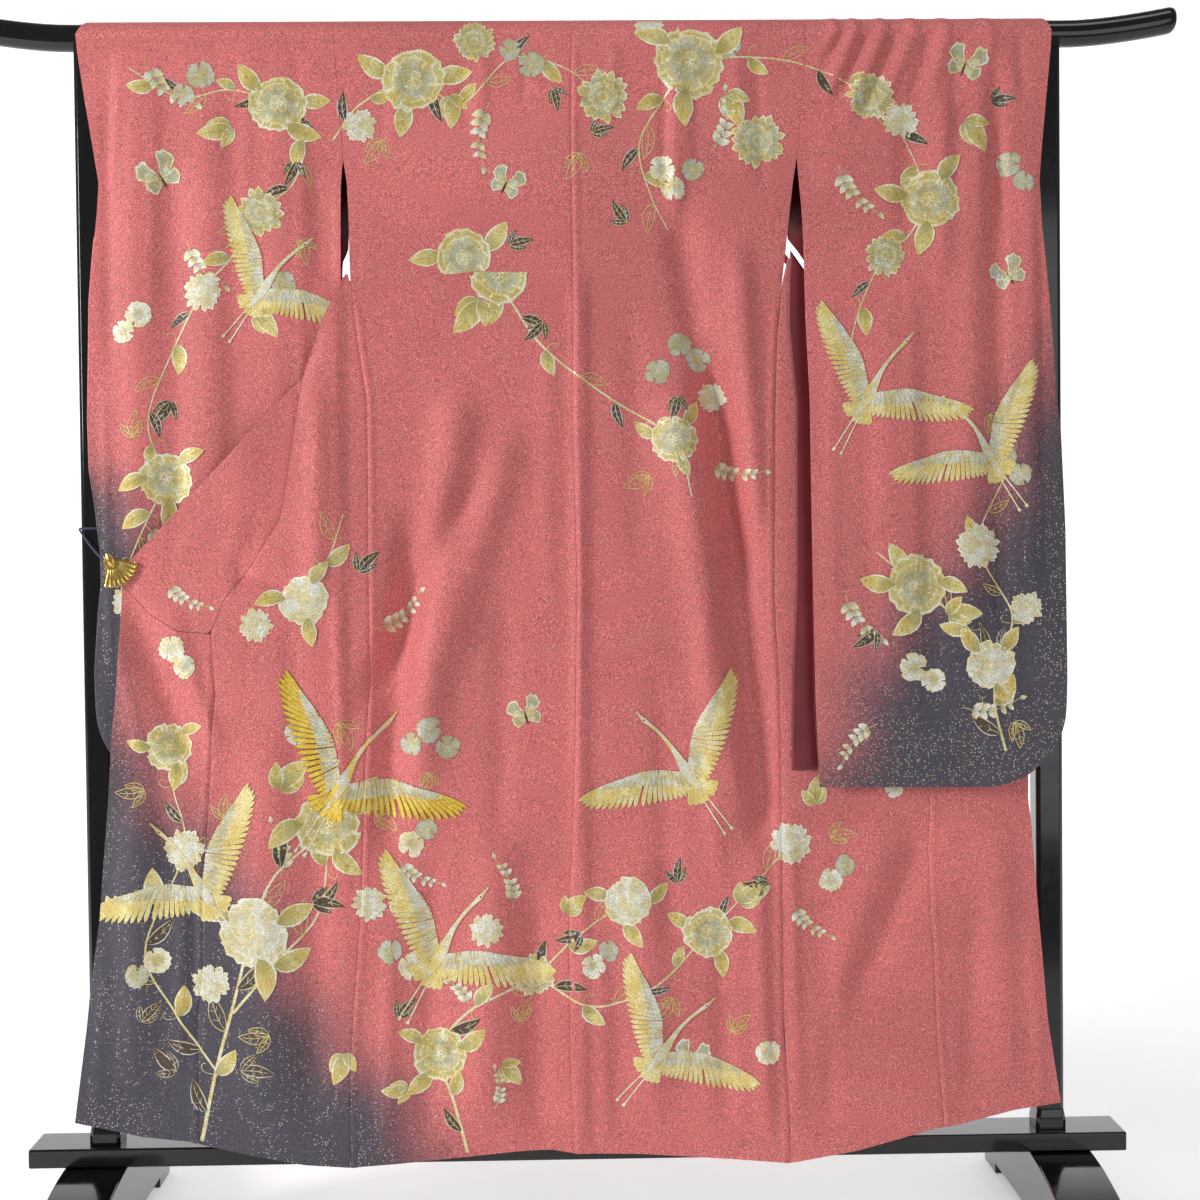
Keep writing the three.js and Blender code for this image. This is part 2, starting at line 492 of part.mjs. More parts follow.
function collarStations() {
  const stations = [];
  const nearXs = [...evenly(COLLAR_END_X, -506, END_SEAM_COLUMNS), -486, -466, -446, -425, -405];
  for (const x of nearXs) {
    const seam = x <= -506 ? lookUp(END_SEAM, 'x', 'z', x) : lookUp(
      FRONT_LEFT_EDGE.slice(7, 11).map((row) => ({ x: row.x, z: row.z })), 'x', 'z', x,
    );
    const sink = COLLAR_SINK * smooth((x + 470) / 60);
    stations.push({ x, y: null, sink, top: bandTop(x), low: seam + SEAM });
  }
  stations.push(...COLLAR_TURN);
  const farXs = [303, 270, 235, 200, 199.7, 165, 130, NECK_HALF, 70, 35, 0];
  const hang = (x) => mix(1600, SHOULDER_Z - COLLAR_DROP, smooth((NECK_HALF - Math.abs(x)) / 60));
  for (const sign of [-1, 1]) {
    const apex = sign < 0 ? LEFT_APEX : RIGHT_APEX;
    const freeSlope = sign < 0 ? LEFT_FREE_SLOPE : RIGHT_FREE_SLOPE;
    const ordered = sign < 0 ? farXs : farXs.slice(0, -1).reverse();
    for (const distance of ordered) {
      const x = sign * distance;
      const seam = mix(SHOULDER_Z, apex.z, (distance - NECK_HALF) / (Math.abs(apex.x) - NECK_HALF));
      const top = Math.min(seam, SHOULDER_Z) - SEAM;
      const low = distance > NECK_HALF ? 1600 - (distance - NECK_HALF) * freeSlope : hang(x);
      stations.push({ x, y: null, far: true, top, low });
    }
  }
  for (const x of [303.34, 312, 322, 334, 346, 358, 375, 400, 440, 480, 520, 560, 600, RIGHT_END_X]) {
    const forward = smooth((x - RIGHT_OPEN_X) / 56);
    stations.push({ x, y: null, forward, top: rightTop(x), low: rightLow(x) });
  }
  return stations;
}

function collarY(station, z) {
  if (station.y !== null) return station.y;
  if (station.far) return upperY(z);
  if (station.forward !== undefined) {
    return mix(UPPER_APEX_Y, -bodyDepth(station.x, z), station.forward);
  }
  return -bodyDepth(station.x, z) + station.sink;
}

function addCollar() {
  const stations = collarStations();
  const middle = stations.map((s) => new THREE.Vector2(s.x, collarY(s, (s.top + s.low) / 2)));
  const rows = stations.map((s, k) => {
    const before = middle[Math.max(0, k - 1)];
    const after = middle[Math.min(middle.length - 1, k + 1)];
    const tangent = after.clone().sub(before).normalize();
    const flat = tangent.x > 0.75;
    const out = flat ? TO_VIEWER : new THREE.Vector3(tangent.y, -tangent.x, 0);
    return evenly(s.low, s.top, 3).map((z) => ({ at: new THREE.Vector3(s.x, collarY(s, z), z), out }));
  });
  let start = -Infinity;
  for (const { name, end } of COLLAR_LENGTHS) {
    const own = rows.filter((_, k) => stations[k].x > start && stations[k].x <= end);
    addPiece(name, clothGeometry(own), MATERIALS.crepe);
    start = end;
  }
}
addCollar();

// ---------------------------------------------------------------- sleeves

const SLEEVE_COLUMNS = [0, 0.03, 0.07, 0.14, 0.23, 0.33, 0.44, 0.56, 0.68, 0.8, 0.9, 1];   // wrist to body
const SLEEVE_ROWS = 12;
const SLEEVE_LEFT = {
  name: 'sleeve_left',
  seam: SIDE_LEFT,
  folds: SLEEVE_LEFT_FOLDS,
  bag: 14,
  wrist: [
    { z: 755, x: -669 }, { z: 804, x: -670 }, { z: 883, x: -664 }, { z: 926, x: -659 }, { z: 967, x: -659 },
    { z: 1044, x: -667 }, { z: 1085, x: -673 }, { z: 1155, x: -674 }, { z: 1321, x: -669 }, { z: 1376, x: -664 },
    { z: 1438, x: -657 }, { z: 1482, x: -654 }, { z: 1528, x: -661 }, { z: 1597, x: -672 }, { z: 1652, x: -680 },
    { z: 1689, x: -685 },
  ],
  bottom: [
    { u: 0, z: 755 }, { u: 0.03, z: 720 }, { u: 0.07, z: 687 }, { u: 0.14, z: 657 }, { u: 0.23, z: 645 },
    { u: 0.33, z: 641 }, { u: 1, z: 640 },
  ],
  inner: [
    { z: 640, x: -331 }, { z: 900, x: -327 }, { z: 1200, x: -323 }, { z: 1356, x: -320.5 }, { z: 1427, x: -320 },
    { z: 1479, x: -319 }, { z: 1513, x: -316 },
  ],
  farInner: [
    { z: 640, x: -331 }, { z: 900, x: -327 }, { z: 1200, x: -323 }, { z: 1356, x: -321 }, { z: 1427, x: -321 },
    { z: 1479, x: -319.5 }, { z: 1513, x: -316 },
  ],
  depths: [
    { z: 640, depth: 32 }, { z: 1400, depth: 32 }, { z: 1513, depth: 29.5 }, { z: 1600, depth: 27 },
    { z: 1664, depth: 25 }, { z: 1689, depth: DRAPE_RADIUS },
  ],
};
const SLEEVE_RIGHT = {
  name: 'sleeve_right',
  seam: SIDE_RIGHT,
  folds: SLEEVE_RIGHT_FOLDS,
  bag: 14,
  wrist: [
    { z: 745, x: 685 }, { z: 785, x: 686 }, { z: 991, x: 684 }, { z: 1135, x: 678 }, { z: 1170, x: 673 },
    { z: 1265, x: 668 }, { z: 1336, x: 662 }, { z: 1406, x: 656 }, { z: 1477, x: 654 }, { z: 1566, x: 664 },
    { z: 1689, x: 677 },
  ],
  bottom: [
    { u: 0, z: 745 }, { u: 0.03, z: 712 }, { u: 0.07, z: 685 }, { u: 0.14, z: 657 }, { u: 0.23, z: 640 },
    { u: 0.33, z: 630 }, { u: 0.5, z: 627 }, { u: 1, z: 634 },
  ],
  inner: [
    { z: 634, x: 339 }, { z: 745, x: 334 }, { z: 960, x: 331 }, { z: 1173, x: 329 }, { z: 1284, x: 324 },
    { z: 1402, x: 322 }, { z: 1454, x: 320 }, { z: 1513, x: 316.5 },
  ],
  farInner: [
    { z: 634, x: 339 }, { z: 745, x: 334 }, { z: 1173, x: 331 }, { z: 1362, x: 329 }, { z: 1413, x: 311 },
    { z: 1440, x: 310 }, { z: 1480, x: 313 }, { z: 1500, x: 316.3 }, { z: 1513, x: 316.5 },
  ],
  depths: [
    { z: 634, depth: 54 }, { z: 900, depth: 54 }, { z: 1200, depth: 52 }, { z: 1400, depth: 46 },
    { z: 1513, depth: 34 }, { z: 1600, depth: 28 }, { z: 1664, depth: 25 }, { z: 1689, depth: DRAPE_RADIUS },
  ],
};
const CUFF_FAR_X = 646;            // the far layer stays this side of the post until it is in front of it
const SEWN_APART = WALL + 0.4;     // between the layers' middles along the closed edges

function addSleeve(sleeve) {
  const side = Math.sign(sleeve.seam[0].x);
  const seamX = (z) => lookUp(sleeve.seam, 'z', 'x', z) + side * SEAM / 2;
  const innerX = (table, z) => (z >= ARMHOLE_Z ? seamX(z) : lookUp(table, 'z', 'x', z) + side * SEAM / 2);
  const wristX = (z) => lookUp(sleeve.wrist, 'z', 'x', z);
  const plainDepth = (z) => smoothCurve(
    sleeve.depths.map((row) => row.z), sleeve.depths.map((row) => row.depth), z,
  );
  const nearDepth = (x, z) => {
    const own = plainDepth(z) + foldLift(sleeve.folds, x, z);
    const fromSeam = Math.abs(x - lookUp(sleeve.seam, 'z', 'x', Math.max(z, ARMHOLE_Z)));
    const joined = (1 - smooth(fromSeam / 55)) * smooth((z - ARMHOLE_Z + 90) / 90);
    return mix(own, bodyDepth(lookUp(sleeve.seam, 'z', 'x', z), z), joined);
  };
  const farWristX = (z) => side * Math.min(
    Math.abs(wristX(z)), mix(CUFF_FAR_X, 700, smooth((CUFF_Z - 8 - z) / 60)),
  );
  const farY = (x, z, u, bottomZ) => {
    const swing = mix(
      smooth((SHOULDER_Z - 25 - z) / (SHOULDER_Z - 25 - CUFF_Z)),
      smooth((ARMHOLE_Z - z) / 133),
      smooth((u - 0.05) / 0.95),
    );
    const fromWrist = Math.abs(wristX(z)) - Math.abs(x);
    const open = smooth((fromWrist - 34) / 100) * smooth((z - bottomZ) / 110);
    const depth = mix(nearDepth(x, z), plainDepth(z) - sleeve.bag, open) - SEWN_APART;
    const behindBar = DRAPE_RADIUS + 2 * smooth((SHOULDER_Z - z) / 80);
    return mix(behindBar, -depth, swing);
  };
  const bottomZ = SLEEVE_COLUMNS.map((u) => lookUp(sleeve.bottom, 'u', 'z', u));
  const legRow = (k, far) => {
    const heights = bottomZ.map((low) => mix(low, ARMHOLE_Z, k / SLEEVE_ROWS));
    return layerRow(heights, far);
  };
  const layerRow = (heights, far) => {
    const last = heights.length - 1;
    const outerX = far ? farWristX(heights[0]) : wristX(heights[0]);
    const inner = innerX(far ? sleeve.farInner : sleeve.inner, heights[last]);
    return SLEEVE_COLUMNS.map((u, i) => {
      const x = mix(outerX, inner, u);
      const z = heights[i];
      return far ? farPoint(x, farY(x, z, u, bottomZ[i]), z) : nearPoint(x, z, nearDepth(x, z));
    });
  };
  const level = (z, far) => layerRow(SLEEVE_COLUMNS.map(() => z), far);
  const rows = [];
  for (let k = 0; k < SLEEVE_ROWS; k += 1) rows.push(legRow(k, false));
  for (const z of ARMHOLE_LEVELS) rows.push(level(z, false));
  for (let k = 1; k < ARCH_ROWS; k += 1) {
    const outerX = mix(wristX(SHOULDER_Z), side * (POST.x - POST.halfWidth - 1), k / ARCH_ROWS);
    rows.push(SLEEVE_COLUMNS.map((u) => archPoint(mix(outerX, seamX(SHOULDER_Z), u), (Math.PI * k) / ARCH_ROWS)));
  }
  for (const z of [...ARMHOLE_LEVELS].reverse()) rows.push(level(z, true));
  for (let k = SLEEVE_ROWS - 1; k >= 0; k -= 1) rows.push(legRow(k, true));
  addPiece(sleeve.name, clothGeometry(rows), MATERIALS.crepe);
}
addSleeve(SLEEVE_LEFT);
addSleeve(SLEEVE_RIGHT);

// ---------------------------------------------------------------- stand

function addBar() {
  const sides = 24;
  const rise = (x) => BAR.endRise * clamp01((Math.abs(x) - BAR.bendX) / (BAR.halfLength - BAR.bendX)) ** 1.6;
  const half = [0, BAR.bendX, 740, 780, 820, BAR.halfLength - 4, BAR.halfLength];
  const places = [...half.slice(1).reverse().map((x) => -x), ...half];
  const rings = places.map((x) => {
    const radius = Math.abs(x) === BAR.halfLength ? BAR.radius - 4 : BAR.radius;
    return evenly(0, 2 * Math.PI, sides).slice(0, sides).map((angle) => new THREE.Vector3(
      x, radius * Math.cos(angle), BAR.axisZ + rise(x) + radius * Math.sin(angle),
    ));
  });
  addPiece('stand_bar', loftGeometry(rings), MATERIALS.lacquer);
}
addBar();

// An upright's section: a rectangle with its corners cut off.
function postRing(x, z, halfWidth, halfDepth, cut) {
  const corners = [
    [halfWidth, halfDepth - cut], [halfWidth - cut, halfDepth], [-halfWidth + cut, halfDepth],
    [-halfWidth, halfDepth - cut], [-halfWidth, -halfDepth + cut], [-halfWidth + cut, -halfDepth],
    [halfWidth - cut, -halfDepth], [halfWidth, -halfDepth + cut],
  ];
  return corners.map(([dx, y]) => new THREE.Vector3(x + dx, y, z));
}

const wasm = await Module();
wasm.setup();
const ACROSS_SIDES = 64;

function toSolid(geometry) {
  const bare = geometry.clone();
  bare.deleteAttribute('normal');
  bare.deleteAttribute('uv');
  const merged = mergeVertices(bare, 1e-4);
  return new wasm.Manifold(new wasm.Mesh({
    numProp: 3,
    vertProperties: new Float32Array(merged.attributes.position.array),
    triVerts: new Uint32Array(merged.index.array),
  }));
}

function fromSolid(solid) {
  const mesh = solid.getMesh();
  const geometry = new THREE.BufferGeometry();
  geometry.setAttribute('position', new THREE.BufferAttribute(new Float32Array(mesh.vertProperties), 3));
  geometry.setIndex(new THREE.BufferAttribute(new Uint32Array(mesh.triVerts), 1));
  geometry.computeVertexNormals();
  return geometry;
}

// The saddle at the top of each post is hollowed to the bar's round.
function addPost(name, x) {
  const footTop = BEAM.topZ + CLEAR + POST_FOOT.height;
  const shaft = loftGeometry([
    postRing(x, footTop + CLEAR, POST.halfWidth, POST.halfDepth, POST.chamfer),
    postRing(x, POST.shoulderZ, POST.halfWidth, POST.halfDepth, POST.chamfer),
    postRing(x, POST.tineZ, POST.halfWidth, POST.tineDepth, POST.chamfer),
  ]);
  const hollow = new THREE.CylinderGeometry(BAR.radius + CLEAR, BAR.radius + CLEAR, 80, ACROSS_SIDES);
  hollow.rotateZ(Math.PI / 2);
  hollow.translate(x, 0, BAR.axisZ);
  addPiece(name, fromSolid(toSolid(shaft).subtract(toSolid(hollow))), MATERIALS.lacquer);
  const flared = (z, flare) => postRing(x, z, POST.halfWidth + flare, POST.halfDepth + flare, POST.chamfer);
  const foot = loftGeometry([
    flared(BEAM.topZ + CLEAR, POST_FOOT.flare), flared(BEAM.topZ + 12, POST_FOOT.flare), flared(footTop, 0),
  ]);
  addPiece(name.replace('post', 'post_foot'), foot, MATERIALS.lacquer);
}
addPost('post_left', -POST.x);
addPost('post_right', POST.x);

function addBeam() {
  const ring = (x, inset) => {
    const depth = BEAM.halfDepth - inset;
    const low = BEAM.bottomZ + inset;
    const high = BEAM.topZ - inset;
    const e = BEAM.edge;
    return [
      [depth, low + e], [depth, high - e], [depth - e, high], [-depth + e, high],
      [-depth, high - e], [-depth, low + e], [-depth + e, low], [depth - e, low],
    ].map(([y, z]) => new THREE.Vector3(x, y, z));
  };
  const end = BEAM.halfLength;
  const rings = [ring(-end, BEAM.edge), ring(-end + BEAM.edge, 0), ring(end - BEAM.edge, 0), ring(end, BEAM.edge)];
  addPiece('base_beam', loftGeometry(rings), MATERIALS.lacquer);
}
addBeam();

// Each foot runs front to back: a shallow arch on top, flat under, on two pads.
function addFoot(side, x) {
  const drop = (FOOT.topZ - FOOT.endZ) / FOOT.halfLength ** 2;
  const outline = new THREE.Shape();
  const underZ = PAD.height + CLEAR;
  outline.moveTo(-FOOT.halfLength, underZ);
  outline.lineTo(FOOT.halfLength, underZ);
  for (const y of evenly(FOOT.halfLength, -FOOT.halfLength, 16)) outline.lineTo(y, FOOT.topZ - drop * y * y);
  const geometry = new THREE.ExtrudeGeometry(outline, { depth: 2 * FOOT.halfWidth, bevelEnabled: false });
  geometry.rotateX(Math.PI / 2);
  geometry.rotateZ(Math.PI / 2);
  geometry.translate(x - FOOT.halfWidth, 0, 0);
  addPiece(`foot_${side}`, geometry, MATERIALS.lacquer);
  for (const [end, sign] of [['near', -1], ['far', 1]]) {
    const depth = PAD.outerY - PAD.innerY;
    const pad = new THREE.BoxGeometry(2 * PAD.halfWidth, depth, PAD.height);
    pad.translate(x, sign * (PAD.innerY + depth / 2), PAD.height / 2);
    addPiece(`pad_${side}_${end}`, pad, MATERIALS.lacquer);
  }
}
addFoot('left', -FOOT.x);
addFoot('right', FOOT.x);

// ---------------------------------------------------------------- clip and its cord

const CLIP = { x: -641, z: 959, radius: 38, from: -4, to: -105, plate: 2.4, frontDepth: 53, backDepth: 48 };
const CORD_RADIUS = 1.5;
const CORD_Z = 1004;
const radians = (degrees) => (degrees * Math.PI) / 180;

// A box between two corners.
function block(low, high) {
  const size = high.map((value, k) => value - low[k]);
  const geometry = new THREE.BoxGeometry(...size);
  geometry.translate(...low.map((value, k) => value + size[k] / 2));
  return geometry;
}

// The clip: an open fan in front of the collar's end, a back joining it to a jaw behind the cloth.
function addClip() {
  const fan = new THREE.Shape();
  fan.moveTo(0, 0);
  const ribs = 9;
  for (const angle of evenly(CLIP.from, CLIP.to, ribs * 2)) {
    const scallop = Math.abs(Math.sin(radians((angle - CLIP.from) * (180 * ribs) / (CLIP.to - CLIP.from))));
    const radius = CLIP.radius - 2 + 2 * scallop;
    fan.lineTo(radius * Math.cos(radians(angle)), radius * Math.sin(radians(angle)));
  }
  const plate = new THREE.ExtrudeGeometry(fan, { depth: CLIP.plate, bevelEnabled: false });
  plate.rotateX(Math.PI / 2);
  plate.translate(CLIP.x, -CLIP.frontDepth, CLIP.z);
  const back = block([CLIP.x - 9, -CLIP.frontDepth - CLIP.plate, CLIP.z - 7], [CLIP.x + 4, -CLIP.backDepth + 2, CLIP.z + 6]);
  const jaw = block([CLIP.x - 9, -CLIP.backDepth, CLIP.z - 24], [CLIP.x + 28, -CLIP.backDepth + 2, CLIP.z + 2]);
  addPiece('fan_clip', fromSolid(toSolid(plate).add(toSolid(back)).add(toSolid(jaw))), MATERIALS.gold);
}
addClip();

// A round cord along points, its rings upright.
function cordGeometry(points, closed) {
  const sides = 8;
  const count = points.length;
  const up = new THREE.Vector3(0, 0, 1);
  const rings = points.map((p, k) => {
    const before = points[closed ? (k + count - 1) % count : Math.max(0, k - 1)];
    const after = points[closed ? (k + 1) % count : Math.min(count - 1, k + 1)];
    const along = after.clone().sub(before).normalize();
    const across = along.clone().cross(up).normalize();
    const lift = across.clone().cross(along);
    return evenly(0, 2 * Math.PI, sides).slice(0, sides).map((angle) => p.clone()
      .addScaledVector(across, CORD_RADIUS * Math.cos(angle))
      .addScaledVector(lift, CORD_RADIUS * Math.sin(angle)));
  });
  return loftGeometry(rings, closed);
}

function addCord() {
  const gap = CORD_RADIUS + CLEAR;
  const halfX = POST.halfWidth + gap;
  const halfY = POST.halfDepth + gap;
  const round = 6;
  const turn = [];
  for (const [signX, signY, start] of [[1, 1, 0], [-1, 1, 90], [-1, -1, 180], [1, -1, 270]]) {
    for (const angle of evenly(start, start + 90, 3)) {
      turn.push(new THREE.Vector3(
        -POST.x + signX * (halfX - round) + round * Math.cos(radians(angle)),
        signY * (halfY - round) + round * Math.sin(radians(angle)),
        CORD_Z,
      ));
    }
  }
  addPiece('clip_cord_turn', cordGeometry(turn, true), MATERIALS.cord);
  const start = new THREE.Vector3(CLIP.x - 9 - gap, -CLIP.frontDepth + 1, CLIP.z + 1);
  const end = new THREE.Vector3(-POST.x - halfX + 1, -halfY - 2 * CORD_RADIUS - CLEAR, CORD_Z - 1);
  const sag = 3;
  const stretch = evenly(0, 1, 8).map((t) => {
    const p = start.clone().lerp(end, t);
    p.z -= sag * 4 * t * (1 - t);
    return p;
  });
  addPiece('clip_cord', cordGeometry(stretch, false), MATERIALS.cord);
}
addCord();

export default kimonoOnStand;
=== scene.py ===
# %% [markdown]
# # A furisode kimono on its stand
# This lesson dresses a plain model of a long-sleeved formal kimono. The plain model already holds
# every sewn piece at its real size; here each piece becomes a thin shell of silk crepe with its own
# folds, and the design of flowers and cranes is laid on the silk as thin raised marks.
# All sizes below are in millimetres, and become metres only when a mesh is made.

# %% Tools, the plain model and units
import math

import bmesh
import bpy
import numpy as np
from mathutils import Matrix, Vector
from mathutils.bvhtree import BVHTree


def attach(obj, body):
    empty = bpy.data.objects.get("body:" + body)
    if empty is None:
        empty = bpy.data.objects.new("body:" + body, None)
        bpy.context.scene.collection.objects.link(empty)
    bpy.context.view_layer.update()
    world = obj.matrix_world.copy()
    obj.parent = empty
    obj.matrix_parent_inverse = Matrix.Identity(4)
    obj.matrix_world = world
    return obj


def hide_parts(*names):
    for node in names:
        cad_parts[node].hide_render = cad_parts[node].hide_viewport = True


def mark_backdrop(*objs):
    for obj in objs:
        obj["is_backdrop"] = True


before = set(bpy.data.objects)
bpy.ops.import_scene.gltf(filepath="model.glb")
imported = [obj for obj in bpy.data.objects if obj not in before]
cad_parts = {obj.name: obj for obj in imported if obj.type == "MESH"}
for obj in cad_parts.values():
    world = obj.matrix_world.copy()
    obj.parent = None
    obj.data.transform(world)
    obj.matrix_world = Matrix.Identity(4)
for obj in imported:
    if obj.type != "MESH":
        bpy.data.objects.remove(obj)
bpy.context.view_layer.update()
MM = 0.001

# %% [markdown]
# ## Where we stand
# A kimono is shown from straight in front, at about the height of its middle, from far enough away
# that its sides don't lean. A camera has a place and three small turns: to the side, down, and round
# its own line of sight. The matrix below is built from the three directions of the camera itself.

# %% The camera
CAMERA_PLACE = (-25.03, -2792.67, 972.69)
CAMERA_TURN, CAMERA_TILT, CAMERA_ROLL = (math.radians(a) for a in (1.247, -1.576, -0.584))
LENS, SENSOR_WIDTH, FAR_CLIP = 59.16, 36, 30

forward = Vector((math.sin(CAMERA_TURN) * math.cos(CAMERA_TILT),
                  math.cos(CAMERA_TURN) * math.cos(CAMERA_TILT), math.sin(CAMERA_TILT)))
level = Vector((math.cos(CAMERA_TURN), -math.sin(CAMERA_TURN), 0))
rise = level.cross(forward)
right = math.cos(CAMERA_ROLL) * level + math.sin(CAMERA_ROLL) * rise
above = -math.sin(CAMERA_ROLL) * level + math.cos(CAMERA_ROLL) * rise
lens = bpy.data.cameras.new("camera")
lens.sensor_width, lens.lens, lens.sensor_fit = SENSOR_WIDTH, LENS, "HORIZONTAL"
lens.clip_end = FAR_CLIP
camera = bpy.data.objects.new("camera", lens)
facing_matrix = Matrix((right, above, -forward)).transposed().to_4x4()
camera.matrix_world = Matrix.Translation(Vector(CAMERA_PLACE) * MM) @ facing_matrix
bpy.context.scene.collection.objects.link(camera)
bpy.context.scene.camera = camera
print("camera at", [round(v, 3) for v in camera.location])

# %% [markdown]
# ## Small mathematics for cloth
# Cloth is drawn from a few numbers: where each edge runs, and how far the silk stands out at a few
# stations. Everything between is filled in by a smooth run through the numbers. The run below never
# swings past a given value, so a fold can't cross the piece behind it.

# %% Smooth runs
def smooth(t):
    t = np.clip(t, 0, 1)
    return t * t * (3 - 2 * t)


def mix(a, b, t):
    return a + (b - a) * t


def run_through(places, values, at):
    """A smooth run through values at places. values may have a column for each point of at."""
    places, at = np.asarray(places, float), np.asarray(at, float)
    flat = np.clip(at.ravel(), places[0], places[-1])
    values = np.broadcast_to(np.asarray(values, float).reshape(len(places), -1), (len(places), flat.size))
    steps = np.diff(places)[:, None]
    secant = np.diff(values, axis=0) / steps
    same_way = secant[:-1] * secant[1:] > 0
    slope = np.zeros_like(values)
    total = np.where(same_way, secant[:-1] + secant[1:], 1)
    slope[1:-1] = np.where(same_way, 2 * secant[:-1] * secant[1:] / total, 0)
    k = np.clip(np.searchsorted(places, flat) - 1, 0, len(places) - 2)
    i = np.arange(flat.size)
    h = steps[k, 0]
    t = (flat - places[k]) / h
    a, b = values[k, i], values[k + 1, i]
    result = mix(a, b, t * t * (3 - 2 * t)) + h * (
        (t**3 - 2 * t**2 + t) * slope[k, i] + (t**3 - t**2) * slope[k + 1, i])
    return result.reshape(at.shape)


def look_up(table, at):
    """Straight-line look-up; a table has its key in the first column and its value in the second."""
    rows = np.asarray(table, float)
    return np.interp(at, rows[:, 0], rows[:, 1])


def fold_lift(folds, x, z):
    """Folds run from one point to another; they are soft across and fade at both ends."""
    total = np.zeros(np.broadcast(x, z).shape)
    for x0, z0, x1, z1, half, lift in folds:
        dx, dz = x1 - x0, z1 - z0
        length = math.hypot(dx, dz)
        along = ((x - x0) * dx + (z - z0) * dz) / length
        across = ((x - x0) * dz - (z - z0) * dx) / length
        fade = min(90, length / 2.5)
        ends = smooth(along / fade + 0.5) * smooth((length - along) / fade + 0.5)
        total = total + lift * ends * np.exp(-((across / half) ** 2))
    return total


# %% [markdown]
# ## The cut of the garment
# A kimono is made of straight loom widths: two back panels, two fronts, two narrow overlaps called
# okumi, a collar band and two sleeves. Each outline below gives the place across for a height above
# the floor. Neighbours share one seam line, so they can never drift apart.

# %% Outlines: each row is a height and the place across, both in mm
WALL = 2.0
SEAM = 0.34
CLEAR = 0.3
BAR_RADIUS, BAR_HEIGHT = 19.0, 1689.0
DRAPE_RADIUS = (BAR_RADIUS + 0.35) / math.cos(math.pi / 16) + WALL / 2
CUFF_Z, ARMHOLE_Z, SIDE_SEAM_Z = 1478.0, 1513.0, 1336.0

CENTRE_SEAM = ((124, -10), (259, -14), (438, -14), (618, -5), (713, -2), (927, 3), (1176, -1), (1340, 2),
               (1551, 1), (1689, 3))
SIDE_LEFT = ((110, -321), (227, -321), (310, -316), (479, -302), (622, -297), (803, -287), (1178, -286),
             (1247, -296), (1336, -306), (1374, -308), (1427, -309), (1479, -311), (1513, -316),
             (1593, -321), (1689, -328))
SIDE_RIGHT = ((105, 294), (181, 293), (289, 286), (613, 287), (781, 286), (852, 281), (924, 280),
              (1174, 283), (1285, 288), (1336, 294), (1385, 300), (1454, 308), (1479, 311), (1513, 316.5),
              (1576, 323), (1643, 329), (1689, 331))
FRONT_LEFT_EDGE = ((145, -530), (324, -531), (386, -523), (503, -521), (626, -511), (735, -504),
                   (777, -500), (856, -506), (902, -486), (952, -446), (1017, -405), (1095, -391),
                   (1211, -373), (1290, -345), (1352, -313))
OKUMI_LEFT_EDGE = ((179, -702), (310, -684), (364, -678), (463, -664), (524, -659), (629, -650),
                   (713, -645), (766, -639), (832, -633), (924, -627))
OKUMI_RIGHT_SEAM = ((150, 511), (270, 502), (393, 500), (447, 496), (538, 495), (610, 497), (1060, 497))
OKUMI_RIGHT_EDGE = ((182, 677), (299, 660), (463, 648), (572, 641), (608, 637), (835, 638))
# The hem's height at a place across.
HEM = ((-702, 179), (-671, 172), (-607, 158), (-544, 151), (-516, 144), (-453, 130), (-383, 116),
       (-319, 110), (-252, 114), (-181, 120), (-89, 128), (-39, 129), (-10, 124), (89, 121), (211, 112),
       (292, 105), (306, 107), (389, 121), (500, 150), (525, 153), (611, 173), (677, 182))

# %% [markdown]
# ## How far the silk stands out
# Seen from the side, the body hangs a little in front of the bar and swings forward to the hem. One
# table gives this depth at stations across and at heights; a list of folds is added to it. Long soft
# folds come from the way the garment hangs, and the fine straight ones from years in a drawer.

# %% Depth of the body in front of the bar's axis
STATIONS = (-700, -560, -430, -330, -308, -150, 0, 150, 290, 340, 500, 680)
DEPTHS = (
    (105, (60, 62, 66, 62, 60, 58, 56, 56, 57, 57, 55, 50)),
    (400, (56, 58, 62, 58, 56, 52, 50, 50, 48, 44, 42, 40)),
    (640, (52, 52, 58, 56, 52, 44, 42, 42, 38, 32, 32, 30)),
    (860, (50, 50, 57, 55, 50, 38, 35, 36, 34, 28, 30, 30)),
    (1000, (50, 50, 57, 55, 48, 36, 32, 33, 32, 26, 28, 28)),
    (1180, (50, 50, 58, 54, 46, 33, 29, 30, 31, 24, 26, 28)),
    (1336, (50, 50, 54, 50, 44, 31, 28, 28, 30, 25, 26, 28)),
    (1400, (44, 44, 44, 40, 36, 29, 28, 28, 29, 27, 28, 28)),
    (1513, (27, 27, 27, 27, 27, 27, 27, 27, 28, 28, 28, 28)),
    (1664, (25,) * 12),
    (1689, (DRAPE_RADIUS,) * 12),
)
